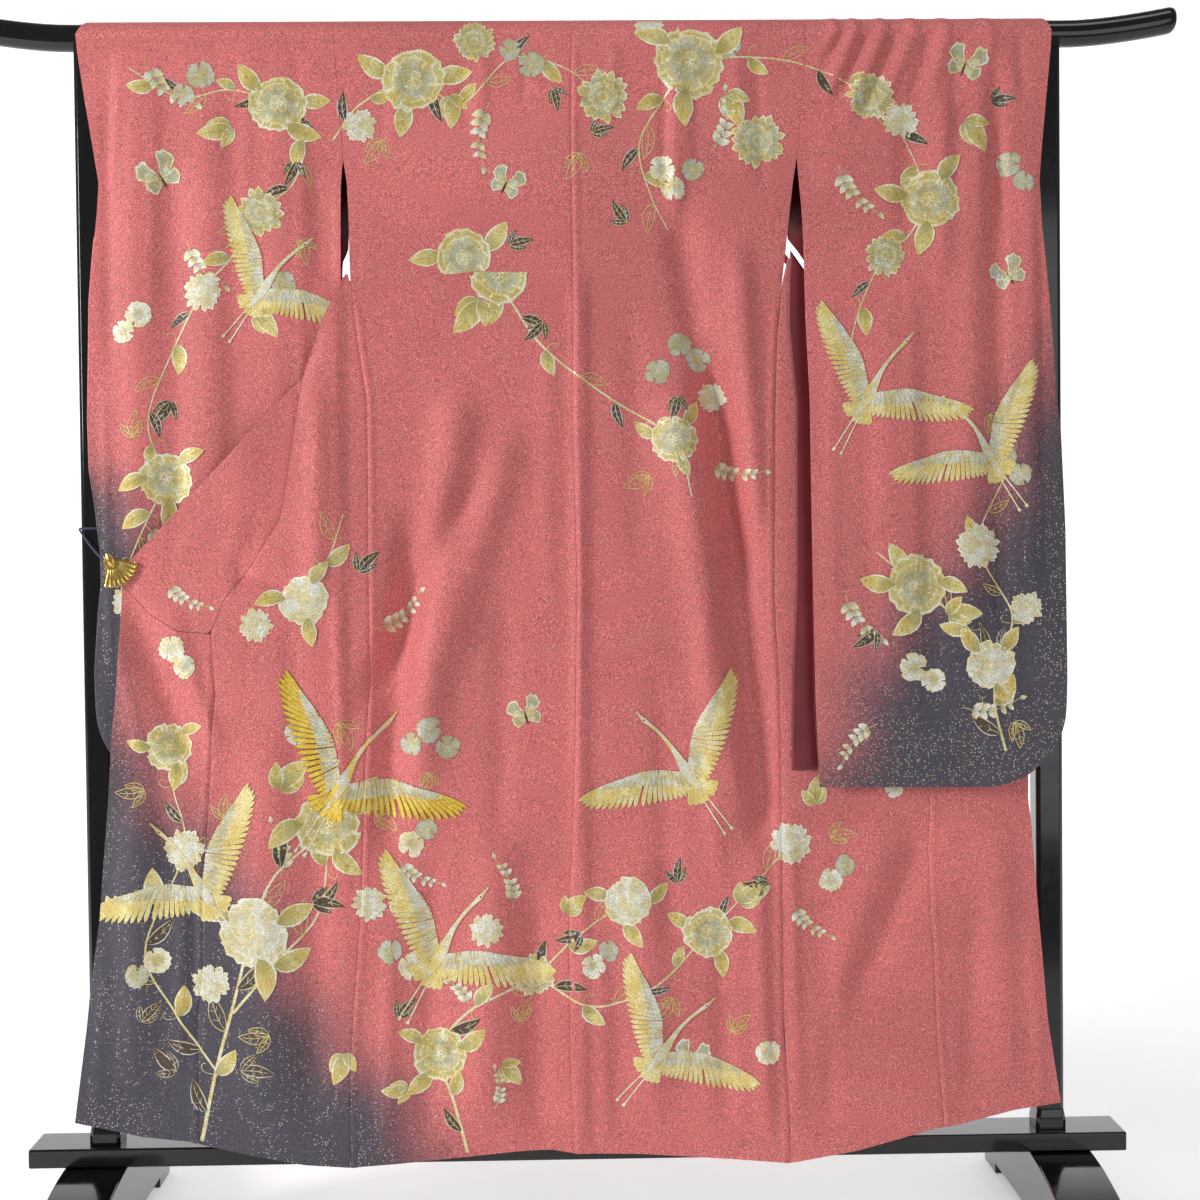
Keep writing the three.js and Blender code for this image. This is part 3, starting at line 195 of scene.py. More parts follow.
# Each fold: from x, z to x, z, its half width, and its lift toward the viewer.
BODY_FOLDS = (
    (12, 1340, 2, 130, 13, 3), (200, 1230, 262, 560, 26, -8), (140, 1180, 228, 600, 30, 7),
    (-160, 1180, -222, 640, 30, 7), (-225, 1010, -268, 560, 24, -7), (491, 560, 382, 330, 26, -8),
    (430, 560, 330, 250, 30, 6), (148, 1640, 146, 1430, 11, 3), (-110, 560, -140, 180, 34, 6),
    (90, 520, 100, 180, 32, 5), (-60, 480, -55, 150, 26, -5), (-618, 905, -540, 690, 20, -7),
    (-430, 700, -440, 200, 34, 6), (-610, 620, -620, 240, 26, 6), (-360, 620, -372, 180, 24, -5),
    (590, 560, 600, 220, 26, 5), (-352, 1180, -360, 900, 18, 5), (150, 1430, 232, 930, 24, -6),
    (-142, 1064, -292, 758, 22, -6), (-90, 1120, -180, 820, 26, 5), (232, 1380, 252, 1000, 20, 5),
    (-398, 1150, -352, 1270, 12, -4), (-440, 1010, -470, 930, 14, -4), (-546, 960, -500, 1010, 12, 3),
)
FINE_BODY_FOLDS = (
    (132, 1610, 131, 1480, 6, -2.2), (165, 1600, 163, 1500, 7, 1.6), (-118, 1660, -126, 1545, 9, 1.4),
    (-150, 1655, -148, 1560, 7, -1.2), (62, 1665, 58, 1570, 8, 1.2), (232, 1660, 240, 1500, 10, 1.6),
    (262, 1640, 268, 1480, 8, -1.4), (-236, 1660, -246, 1540, 9, 1.3), (-60, 1650, -64, 1590, 7, -0.9),
    (-560, 880, -500, 700, 14, 4), (-640, 860, -590, 640, 12, 3), (-596, 700, -560, 520, 16, -3.5),
    (-470, 930, -400, 915, 9, -4.5), (-468, 968, -398, 958, 12, 2.5), (-532, 470, -534, 260, 9, -2.5),
    (-548, 480, -556, 250, 10, 2.2), (-330, 900, -322, 540, 9, 2.2), (-392, 860, -388, 560, 16, -2.6),
    (300, 560, 306, 180, 10, 2.5), (345, 420, 352, 160, 14, -2.6), (250, 520, 262, 160, 14, 3),
    (200, 430, 205, 170, 16, -2.6), (-200, 520, -214, 160, 18, -3), (-262, 420, -270, 150, 14, 2.6),
    (30, 420, 34, 150, 14, 2.4), (560, 480, 548, 200, 14, -2.4), (640, 420, 648, 200, 12, 2.2),
    (-660, 420, -668, 200, 12, 2), (176, 880, 196, 520, 14, 2.2), (120, 760, 128, 420, 18, -2.4),
    (-96, 900, -110, 560, 18, -2), (-34, 1260, -38, 900, 16, 1.2), (84, 1280, 92, 960, 18, -1.6),
)
STORAGE_CREASES = (
    (-280, 1245, 276, 1243, 5, -0.7), (-282, 1016, 270, 1012, 5, -0.8), (-280, 932, 270, 930, 4, -0.5),
    (-284, 730, 276, 726, 5, -0.7), (-500, 742, -300, 736, 4, -0.5), (300, 470, 620, 480, 4, -0.5),
    (-276, 452, 280, 446, 4, -0.5),
)
# Where the back is taken in at the waist, the cloth above stands over the cloth below.
TUCK_LINE = ((-293, 1347), (-238, 1346), (-132, 1356), (1, 1356), (6, 1353), (157, 1345), (297, 1333))
TUCK_STEP = 1.8


# A seam's allowance is pressed to one side, which leaves a low ridge beside a sharp line.
SEAM_RIDGES = ((CENTRE_SEAM, 1, 1689, 1.5), (SIDE_LEFT, 1, 1336, 1.3), (SIDE_RIGHT, -1, 1336, 1.3),
               (FRONT_LEFT_EDGE, -1, 860, 1.4), (OKUMI_RIGHT_SEAM, 1, 1060, 1.2))
FOLD_GAIN, CREASE_GAIN = 1.5, 1.6


def seam_lift(x, z):
    total = np.zeros(x.shape)
    for table, way, top, lift in SEAM_RIDGES:
        away = (x - look_up(table, z)) * way
        ridge = lift * np.exp(-(((away - 6) / 4.5) ** 2)) - 0.9 * np.exp(-((away / 2.0) ** 2))
        total = total + ridge * smooth((top - z) / 60)
    return total


def body_depth(x, z):
    x, z = np.broadcast_arrays(np.asarray(x, float), np.asarray(z, float))
    table = [run_through(STATIONS, depths, x).ravel() for _, depths in DEPTHS]
    depth = run_through([height for height, _ in DEPTHS], table, z)
    above_tuck = z - look_up(TUCK_LINE, x)
    tuck = smooth(above_tuck / 3 + 0.5) * (1 - smooth(above_tuck / 60))
    inside = smooth((296 - np.abs(x)) / 8)
    gain = FOLD_GAIN + 0.9 * smooth((320 - np.abs(x)) / 60)
    creases = CREASE_GAIN * fold_lift(STORAGE_CREASES, x, z)
    folds = gain * fold_lift(BODY_FOLDS + FINE_BODY_FOLDS, x, z) + creases
    return depth + folds + TUCK_STEP * tuck * inside + seam_lift(x, z)


UPPER_APEX_Y = 13.4


def upper_y(z):
    """The upper fronts hang behind the bar and come forward toward the collar's crossing."""
    hang = DRAPE_RADIUS + 2 * smooth((BAR_HEIGHT - z) / 80)
    return mix(hang, UPPER_APEX_Y, smooth((1600 - z) / 220))


print("depth of the back at the waist, mm:", round(float(body_depth(100, 1100)), 1))

# %% [markdown]
# ## What the surfaces are made of
# Silk crepe has a fine pebbled grain from its twisted threads, a soft sheen, and here a dust of gold
# and silver flecks. The lining is smooth red silk. The stand is black lacquer, so smooth that only its
# reflections show its form. Every finish below is worked out from places on the object itself.

# %% Helpers for finishes
def new_finish(name):
    material = bpy.data.materials.new(name)
    material.use_nodes = True
    nodes = material.node_tree.nodes
    nodes.clear()
    surface = nodes.new("ShaderNodeBsdfPrincipled")
    output = nodes.new("ShaderNodeOutputMaterial")
    material.node_tree.links.new(surface.outputs["BSDF"], output.inputs["Surface"])
    return material, surface


def add_node(material, kind, **settings):
    node = material.node_tree.nodes.new(kind)
    for name, value in settings.items():
        if hasattr(node, name):
            setattr(node, name, value)
        else:
            node.inputs[name.replace("_", " ")].default_value = value
    return node


def join(material, *pairs):
    for source, target in pairs:
        material.node_tree.links.new(source, target)


def grain(material, scale, detail=2.0, roughness=0.5, stretch=None):
    """Noise in metres on the object; scale is how many grains there are in a metre."""
    place = add_node(material, "ShaderNodeTexCoord")
    noise = add_node(material, "ShaderNodeTexNoise", Scale=scale, Detail=detail, Roughness=roughness)
    if stretch:
        mapping = add_node(material, "ShaderNodeMapping")
        mapping.inputs["Scale"].default_value = stretch
        join(material, (place.outputs["Object"], mapping.inputs["Vector"]),
             (mapping.outputs["Vector"], noise.inputs["Vector"]))
    else:
        join(material, (place.outputs["Object"], noise.inputs["Vector"]))
    return noise.outputs["Fac"]


def ramp(material, value, stops):
    """Turns a value into a colour or a grey through (place, colour) stops."""
    node = add_node(material, "ShaderNodeValToRGB")
    while len(node.color_ramp.elements) < len(stops):
        node.color_ramp.elements.new(0.5)
    for element, (place, colour) in zip(node.color_ramp.elements, stops):
        element.position = place
        element.color = (*colour, 1) if hasattr(colour, "__len__") else (colour, colour, colour, 1)
    join(material, (value, node.inputs["Fac"]))
    return node.outputs["Color"]


def blend_colours(material, how, share, a, b):
    """Mixes two colours; share, a and b are sockets or values."""
    node = add_node(material, "ShaderNodeMix", data_type="RGBA", blend_type=how)
    for value, socket in ((share, node.inputs[0]), (a, node.inputs[6]), (b, node.inputs[7])):
        if isinstance(value, bpy.types.NodeSocket):
            join(material, (value, socket))
        else:
            socket.default_value = value
    return node.outputs[2]


def set_surface(surface, **values):
    for name, value in values.items():
        surface.inputs[name.replace("_", " ")].default_value = value


def wandering_colour(material, surface, scale, detail, dark, light):
    """A base colour that wanders between two tones; scale is how many grains there are in a metre."""
    tone = ramp(material, grain(material, scale, detail=detail), ((0.3, dark), (0.7, light)))
    join(material, (tone, surface.inputs["Base Color"]))


def raise_surface(material, surface, height, strength, distance):
    bump = add_node(material, "ShaderNodeBump", Strength=strength, Distance=distance)
    join(material, (height, bump.inputs["Height"]), (bump.outputs["Normal"], surface.inputs["Normal"]))


# %% Silk crepe, with its grain and flecks
GRAINS_PER_METRE = 620
FLECKS_PER_METRE = 330
ROSE, SLATE = (0.68, 0.180, 0.180, 1), (0.085, 0.077, 0.100, 1)


def sprayed_edge(material, share):
    """Breaks a smooth share into grains, as dye brushed through crepe does."""
    dots = grain(material, 480, detail=3, roughness=0.7)
    wide = add_node(material, "ShaderNodeMath", operation="MULTIPLY_ADD")
    wide.inputs[1].default_value, wide.inputs[2].default_value = 1.3, -0.65
    total = add_node(material, "ShaderNodeMath", operation="ADD")
    join(material, (dots, wide.inputs[0]), (wide.outputs[0], total.inputs[0]), (share, total.inputs[1]))
    return ramp(material, total.outputs[0], ((0.16, 0.0), (0.84, 1.0)))


def make_crepe():
    material, surface = new_finish("silk_crepe")
    share = add_node(material, "ShaderNodeAttribute", attribute_name="slate_share").outputs["Fac"]
    slate = sprayed_edge(material, share)
    ground = blend_colours(material, "MIX", slate, ROSE, SLATE)
    fine = grain(material, GRAINS_PER_METRE, detail=2.5, roughness=0.65)
    shade = ramp(material, fine, ((0.30, 0.42), (0.5, 0.96), (0.70, 1.75)))
    body = blend_colours(material, "MULTIPLY", 1.0, ground, shade)
    cloud = ramp(material, grain(material, 5.0, detail=3), ((0.35, 0.92), (0.65, 1.06)))
    body = blend_colours(material, "MULTIPLY", 1.0, body, cloud)
    place = add_node(material, "ShaderNodeTexCoord")
    cells = add_node(material, "ShaderNodeTexVoronoi", Scale=FLECKS_PER_METRE, Randomness=1.0)
    join(material, (place.outputs["Object"], cells.inputs["Vector"]))
    near = ramp(material, cells.outputs["Distance"], ((0.0, 1.0), (0.20, 1.0), (0.30, 0.0)))
    chosen = ramp(material, cells.outputs["Color"], ((0.0, 0.0), (0.62, 0.0), (0.70, 1.0)))
    fleck = blend_colours(material, "MULTIPLY", 1.0, near, chosen)
    hue = ramp(material, grain(material, 90, detail=1),
               ((0.45, (0.80, 0.62, 0.36)), (0.55, (0.78, 0.78, 0.76))))
    strength = ramp(material, slate, ((0.0, 0.42), (1.0, 0.85)))
    fleck = blend_colours(material, "MULTIPLY", 1.0, fleck, strength)
    join(material, (blend_colours(material, "MIX", fleck, body, hue), surface.inputs["Base Color"]))
    set_surface(surface, Roughness=0.62, Specular_IOR_Level=0.35, Sheen_Weight=0.18, Sheen_Roughness=0.40,
                Sheen_Tint=(1.0, 0.78, 0.76, 1))
    raise_surface(material, surface, fine, 0.55, 0.0005)
    return material


def make_lining():
    material, surface = new_finish("red_lining")
    weave = grain(material, 900, detail=1, stretch=(1.0, 1.0, 0.35))
    wandering_colour(material, surface, 14, 3, (0.15, 0.006, 0.012), (0.24, 0.012, 0.022))
    set_surface(surface, Roughness=0.45, Sheen_Weight=0.25)
    raise_surface(material, surface, weave, 0.25, 0.0003)
    return material


def make_lacquer():
    material, surface = new_finish("black_lacquer")
    wandering_colour(material, surface, 9, 4, (0.0035, 0.0035, 0.004), (0.007, 0.007, 0.008))
    wear = ramp(material, grain(material, 60, detail=3), ((0.35, 0.10), (0.70, 0.17)))
    join(material, (wear, surface.inputs["Roughness"]))
    set_surface(surface, Specular_IOR_Level=0.4, Coat_Weight=0.3, Coat_Roughness=0.05)
    raise_surface(material, surface, grain(material, 22, detail=2), 0.03, 0.0006)
    return material


def make_gold():
    material, surface = new_finish("gold_plate")
    wandering_colour(material, surface, 240, 2, (0.55, 0.33, 0.07), (0.86, 0.60, 0.20))
    set_surface(surface, Metallic=1.0, Roughness=0.28)
    raise_surface(material, surface, grain(material, 500, detail=1), 0.12, 0.0002)
    return material


def make_cord_silk():
    material, surface = new_finish("purple_cord")
    wandering_colour(material, surface, 1500, 1, (0.018, 0.008, 0.05), (0.06, 0.03, 0.14))
    set_surface(surface, Roughness=0.6, Sheen_Weight=0.4)
    raise_surface(material, surface, grain(material, 1500, detail=1), 0.4, 0.0003)
    return material


CREPE, LINING, LACQUER = make_crepe(), make_lining(), make_lacquer()
GOLD, CORD_SILK = make_gold(), make_cord_silk()
print("finishes:", [m.name for m in bpy.data.materials if m.users])

# %% [markdown]
# ## The dyed ground
# The silk is dyed rose, and slate grey is brushed in from the lower left and the outer lower sleeves
# with a wide soft border. Each vertex of a shell carries its share of slate, worked out from its
# distance to the border lines, so that the dye runs on across a seam as it does on the real cloth.

# %% Rose and slate, and where one turns into the other
# Each border runs from x, z to x, z with slate on its right-hand side, and is so many mm wide.
BODY_BORDERS = ((-190, 92, -690, 830, 230),)
SLEEVE_LEFT_BORDERS = ((-330, 560, -640, 1060, 190),)
SLEEVE_RIGHT_BORDERS = ((700, 1250, 318, 640, 270),)


def slate_share(borders, x, z):
    share = np.zeros(np.broadcast(x, z).shape)
    for x0, z0, x1, z1, width in borders:
        dx, dz = x1 - x0, z1 - z0
        length = math.hypot(dx, dz)
        along = ((x - x0) * dx + (z - z0) * dz) / length
        beyond = ((z - z0) * dx - (x - x0) * dz) / length
        beyond = beyond + 14 * np.sin(along / 61) + 9 * np.sin(along / 23 + 1.7)
        share = np.maximum(share, smooth(beyond / width + 0.5))
    return share


# %% [markdown]
# ## A shell of cloth
# Every sewn piece is a grid of points on its middle surface and, at each point, the direction of its
# outer face. The shell is that grid moved out and in by half its thickness and joined round the rim.
# A second row of points just inside the rim keeps the shading crisp there, like a pressed edge.

# %% From a grid of points to a shell
SHELL = 1.7
EDGE_STEP = 0.12


def with_edge_rows(grid):
    """Adds a row and a column close inside each edge."""
    for _ in range(2):
        first = mix(grid[0], grid[1], EDGE_STEP)[None]
        last = mix(grid[-1], grid[-2], EDGE_STEP)[None]
        grid = np.concatenate((grid[:1], first, grid[1:-1], last, grid[-1:]))
        grid = grid.swapaxes(0, 1)
    return grid


def grid_faces(rows, columns, start=0, flip=False):
    j, i = np.meshgrid(np.arange(rows - 1), np.arange(columns - 1), indexing="ij")
    a = (start + j * columns + i).ravel()
    quads = np.stack((a, a + 1, a + columns + 1, a + columns), axis=1)
    return quads[:, ::-1] if flip else quads


def rim_faces(rows, columns, start, other):
    ring = np.concatenate((
        np.arange(columns - 1), np.arange(rows - 1) * columns + columns - 1,
        (rows - 1) * columns + np.arange(columns - 1, 0, -1), np.arange(rows - 1, 0, -1) * columns))
    after = np.roll(ring, -1)
    return np.stack((start + after, start + ring, other + ring, other + after), axis=1)


def shell_faces(rows, columns):
    """The faces of a grid, of its copy behind it, and of the rim between them."""
    count = rows * columns
    return np.concatenate((grid_faces(rows, columns), grid_faces(rows, columns, count, flip=True),
                           rim_faces(rows, columns, 0, count)))


def new_mesh(name, points, faces, materials, face_material=0, smooth_faces=True):
    """Makes an object from points in mm."""
    mesh = bpy.data.meshes.new(name)
    faces = np.asarray(faces)
    mesh.vertices.add(len(points))
    mesh.vertices.foreach_set("co", (np.asarray(points, float) * MM).ravel())
    width = faces.shape[1]
    mesh.loops.add(faces.size)
    mesh.loops.foreach_set("vertex_index", faces.ravel().astype(np.int32))
    mesh.polygons.add(len(faces))
    mesh.polygons.foreach_set("loop_start", (np.arange(len(faces)) * width).astype(np.int32))
    mesh.polygons.foreach_set("material_index", np.broadcast_to(face_material, len(faces)).astype(np.int32))
    mesh.polygons.foreach_set("use_smooth", np.full(len(faces), smooth_faces))
    mesh.update(calc_edges=True)
    mesh.validate()
    for material in materials:
        mesh.materials.append(material)
    piece = bpy.data.objects.new(name, mesh)
    bpy.context.scene.collection.objects.link(piece)
    return piece


def paint(piece, name, colours):
    layer = piece.data.color_attributes.new(name, "FLOAT_COLOR", "POINT")
    rgba = np.ones((len(colours), 4))
    rgba[:, :3] = colours
    layer.data.foreach_set("color", rgba.ravel())


SHELLS = {}


def cloth(node, middle, outward, borders, flat, nodes=(), area=None):
    """Dresses one sewn piece: middle is a grid of points, outward the way its outer face looks."""
    middle, outward = with_edge_rows(middle), with_edge_rows(outward)
    outward = outward / np.linalg.norm(outward, axis=2, keepdims=True)
    rows, columns = middle.shape[:2]
    outer = (middle + outward * SHELL / 2).reshape(-1, 3)
    inner = (middle - outward * SHELL / 2).reshape(-1, 3)
    faces = shell_faces(rows, columns)
    quads = (rows - 1) * (columns - 1)
    material = np.concatenate((np.zeros(quads), np.ones(quads), np.zeros(len(faces) - 2 * quads)))
    points = np.concatenate((outer, inner))
    a, b, c = (points[faces[quads // 2][k]] for k in range(3))
    if np.cross(b - a, c - a) @ outward.reshape(-1, 3)[faces[quads // 2][0]] < 0:
        faces = faces[:, ::-1]
    piece = new_mesh(node + "_silk", points, faces, (CREPE, LINING), material)
    paint(piece, "slate_share", slate_share(borders, points[:, 0], points[:, 2])[:, None])
    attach(piece, "root")
    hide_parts(*(nodes or (node,)))
    SHELLS[node] = piece
    made = sum(face.area for face in piece.data.polygons) / 2
    print(f"{node}: {rows} x {columns} points, {made:.3f} of {area or flat[0] * flat[1]:.3f} square metres")
    return piece


def facing(direction, shape):
    return np.broadcast_to(np.asarray(direction, float), (*shape, 3)).copy()


TO_VIEWER, TO_BACK = (0, -1, 0), (0, 1, 0)


def run_of(levels, count):
    """The same run of levels in count steps."""
    return np.interp(np.linspace(0, len(levels) - 1, count + 1), np.arange(len(levels)), levels)


def crowded(columns, pull=0.65):
    """Shares from 0 to 1 that lie closer together near both ends, where the seams are."""
    t = np.linspace(0, 1, columns + 1)
    return t - pull * np.sin(2 * math.pi * t) / (2 * math.pi)


def hang_panel(left, right, columns):
    """A grid on the body between two edges, each a run of (x, z); its lowest row follows the hem."""
    rows = len(left)
    u = crowded(columns)[None, :]
    pull = (1 - np.linspace(0, 1, rows)[:, None]) ** 3
    x = mix(left[:, :1], right[:, :1], u)
    straight = mix(left[0, 1], right[0, 1], u)
    z = mix(left[:, 1:], right[:, 1:], u) + pull * (look_up(HEM, x[:1]) - straight)
    return np.stack((x, -body_depth(x, z), z), axis=2)


def edge(table, levels, shift=0):
    return np.stack((look_up(table, levels) + shift, levels), axis=1)


# %% [markdown]
# ## The back
# Two loom widths, sewn together down the middle. Each runs from the hem up to the shoulder and over
# the bar, where it meets the upper front. The part over the bar is half a turn round its axis.

# %% Back panels
SEAM_ROWS, OKUMI_ROWS = 18, 12
GAP_LEVELS = (1374, 1427, 1479)
ARMHOLE_LEVELS = (1513, 1572, 1630, 1664, 1689)
FINE_ROWS, ARCH_STEPS = 190, 20


def side_levels(side):
    return np.linspace(side[0][0], SIDE_SEAM_Z, SEAM_ROWS + 1)


def arch_grid(x, turn, lift=0):
    """Points over the bar at angles from the near side to the far side, and the way they face."""
    turn = np.asarray(turn)[:, None]
    out = np.stack(np.broadcast_arrays(0 * x, -np.cos(turn), np.sin(turn)), axis=2)
    points = out * (DRAPE_RADIUS + np.asarray(lift)[..., None])
    points[..., 0] = x
    points[..., 2] += BAR_HEIGHT
    return points, out


def make_back(node, side, direction, columns=84):
    side_z = run_of((*side_levels(side), *GAP_LEVELS, *ARMHOLE_LEVELS), FINE_ROWS)
    centre_z = mix(CENTRE_SEAM[0][0], BAR_HEIGHT, (side_z - side[0][0]) / (BAR_HEIGHT - side[0][0]))
    outer = edge(side, side_z, -direction * SEAM / 2)
    inner = edge(CENTRE_SEAM, centre_z, direction * SEAM / 2)
    left, right = (outer, inner) if direction < 0 else (inner, outer)
    near = hang_panel(left, right, columns)
    turns = np.linspace(0, math.pi, ARCH_STEPS + 1)[1:]
    over, over_out = arch_grid(mix(left[-1, 0], right[-1, 0], crowded(columns))[None, :], turns)
    middle = np.concatenate((near, over))
    outward = np.concatenate((facing(TO_VIEWER, near.shape[:2]), over_out))
    cloth(node, middle, outward, BODY_BORDERS, (0.32, 1.64))


# %% [markdown]
# ## The fronts and okumi
# The fronts hang behind the back on a stand, so only their outer parts show beside it. On the left the
# front and its okumi are drawn forward and up to the clip; on the right they hang straight down.

# %% Fronts, okumi and upper fronts
FRONT_LEFT_LEVELS = (*np.linspace(145, 856, OKUMI_ROWS + 1), 902, 952, 1017, 1095, 1211, 1290, 1352)
COLLAR_END_X = -627
# The line on which the drawn-aside okumi is sewn to the end of the collar: x and height.
END_SEAM = ((COLLAR_END_X, 925), (-590, 884), (-550, 860), (-506, 856))
RIGHT_OPEN_X, RIGHT_END_X = 303, 637
NECK_HALF = 97
LEFT_APEX, RIGHT_APEX = (-303, 1352), (RIGHT_OPEN_X, 1386)
UPPER_SIDE_LEFT = ((1355, -307), (1374, -308), (1427, -309), (1479, -311), (1513, -316), (1593, -321),
                   (1689, -328))
UPPER_SIDE_RIGHT = ((1390, 305), (1427, 306.5), (1479, 309.5), (1500, 313.5), (1513, 316.5), (1576, 323),
                    (1643, 329), (1689, 331))


def right_top(x):
    return 1386 - (x - RIGHT_OPEN_X) * 1.368


def right_low(x):
    return 1372 - (x - RIGHT_OPEN_X) * 1.614


def hang_front(node, middle, borders, flat):
    """A piece whose outer face looks to the viewer and which hangs from the collar."""
    cloth(node, middle, facing(TO_VIEWER, middle.shape[:2]), borders, flat)


def make_front_left():
    levels = run_of(FRONT_LEFT_LEVELS, 150)
    left = edge(FRONT_LEFT_EDGE, levels)
    left[:, 0] += np.where(levels < 1018, SEAM / 2 + 0.1, 0)
    side_z = run_of((*side_levels(SIDE_LEFT), 1352), 150)
    right = edge(SIDE_LEFT, side_z, -SEAM / 2)
    right[:, 0] = np.where(side_z > SIDE_SEAM_Z,
                           mix(right[:, 0], -309.5, smooth((side_z - SIDE_SEAM_Z) / 16)), right[:, 0])
    middle = hang_panel(left, right, 60)
    hang_front("front_left", middle, BODY_BORDERS, (0.24, 1.25))


def make_okumi_left():
    seam = edge(FRONT_LEFT_EDGE, run_of(FRONT_LEFT_LEVELS[:OKUMI_ROWS + 1], 110), -SEAM / 2)
    free = edge(OKUMI_LEFT_EDGE, np.linspace(OKUMI_LEFT_EDGE[0][0], END_SEAM[0][1] - SEAM / 2, 111))
    middle = hang_panel(free, seam, 34)
    x, z = middle[..., 0], middle[..., 2]
    pull = smooth((np.linspace(0, 1, 111)[:, None] - 0.6) / 0.4)
    (start_x, start_z), (end_x, end_z) = END_SEAM[0], END_SEAM[-1]
    straight = mix(start_z, end_z, (x - start_x) / (end_x - start_x))
    z = z + pull * (look_up(END_SEAM, x) - straight - SEAM / 2)
    middle = np.stack((x, -body_depth(x, z), z), axis=2)
    hang_front("okumi_left", middle, BODY_BORDERS, (0.17, 0.78))


OKUMI_RIGHT_LEVELS = np.linspace(OKUMI_RIGHT_SEAM[0][0], right_low(497) - SEAM, 131)


def make_front_right():
    side_z = side_levels(SIDE_RIGHT)
    left = np.concatenate((edge(SIDE_RIGHT, side_z, SEAM / 2),
                           [(RIGHT_OPEN_X - 0.5, right_low(RIGHT_OPEN_X - 0.5) - SEAM)]))
    left = np.stack([run_of(left[:, k], 130) for k in (0, 1)], axis=1)
    middle = hang_panel(left, edge(OKUMI_RIGHT_SEAM, OKUMI_RIGHT_LEVELS, -SEAM / 2), 42)
    hang_front("front_right", middle, (), (0.22, 1.26))


def make_okumi_right():
    free = edge(OKUMI_RIGHT_EDGE, np.linspace(OKUMI_RIGHT_EDGE[0][0], right_low(638) - SEAM, 131))
    middle = hang_panel(edge(OKUMI_RIGHT_SEAM, OKUMI_RIGHT_LEVELS, SEAM / 2), free, 32)
    hang_front("okumi_right", middle, (), (0.16, 0.90))


def make_upper_front(node, side, apex):
    lowest = side[0][0]
    stations = (*GAP_LEVELS, *ARMHOLE_LEVELS[:-1], BAR_HEIGHT - SEAM)
    levels = run_of((lowest, *[z for z in stations if z > lowest + 5]), 40)
    inward = -math.copysign(1, apex[0])
    outer_x = look_up(side, levels) + inward * SEAM / 2
    share = (levels - apex[1]) / (BAR_HEIGHT - apex[1])
    seam_x = mix(apex[0], -inward * NECK_HALF, share) - inward * SEAM
    left, right = (outer_x, seam_x) if inward > 0 else (seam_x, outer_x)
    x = mix(left[:, None], right[:, None], np.linspace(0, 1, 37)[None, :])
    z = np.broadcast_to(levels[:, None], x.shape)
    middle = np.stack((x, upper_y(z), z), axis=2)
    cloth(node, middle, facing(TO_BACK, x.shape), (), (0.24, 0.34),
          area=0.041)


# %% [markdown]
# ## The collar
# One long folded band. It starts at the clip, crosses behind the drawn-aside front, passes through the
# slit under the left sleeve, hangs round the neck behind the bar, and runs down behind the right sleeve.
# It is a row of upright stations, each with its lower and upper edge, joined from end to end.

# %% The collar band
COLLAR_SINK, COLLAR_DROP = 8, 59
# Through the slit: x, y, upper edge and lower edge.
COLLAR_TURN = ((-390, -49, 1193, 1050), (-373, -48, 1208, 1095), (-350, -45, 1248, 1175),
               (-334, -42.5, 1296, 1258), (-324, -41, 1330, 1314), (-318.5, -40.2, 1346, 1332),
               (-315.2, -38, 1350, 1337), (-313.9, -34, 1350, 1337), (-313.7, -12, 1350, 1337),
               (-313.7, 5, 1350, 1337), (-312.6, 10, 1350, 1337), (-309, 12.8, 1350.5, 1337))
BAND_END_X, BAND_LOW = 303, 1600
LEFT_FREE_SLOPE = (BAND_LOW - 1338) / (BAND_END_X - NECK_HALF)
RIGHT_FREE_SLOPE = (BAND_LOW - 1372) / (BAND_END_X - NECK_HALF)


def band_top(x):
    return 1211 + (x + 373) * 1.043


def collar_seam_low(x):
    """The collar's lower edge, where the drawn-aside okumi and front are sewn to it."""
    near_seam = sorted((row[1], row[0]) for row in FRONT_LEFT_EDGE[7:11])
    return np.where(x <= END_SEAM[-1][0], look_up(END_SEAM, x), look_up(near_seam, x))


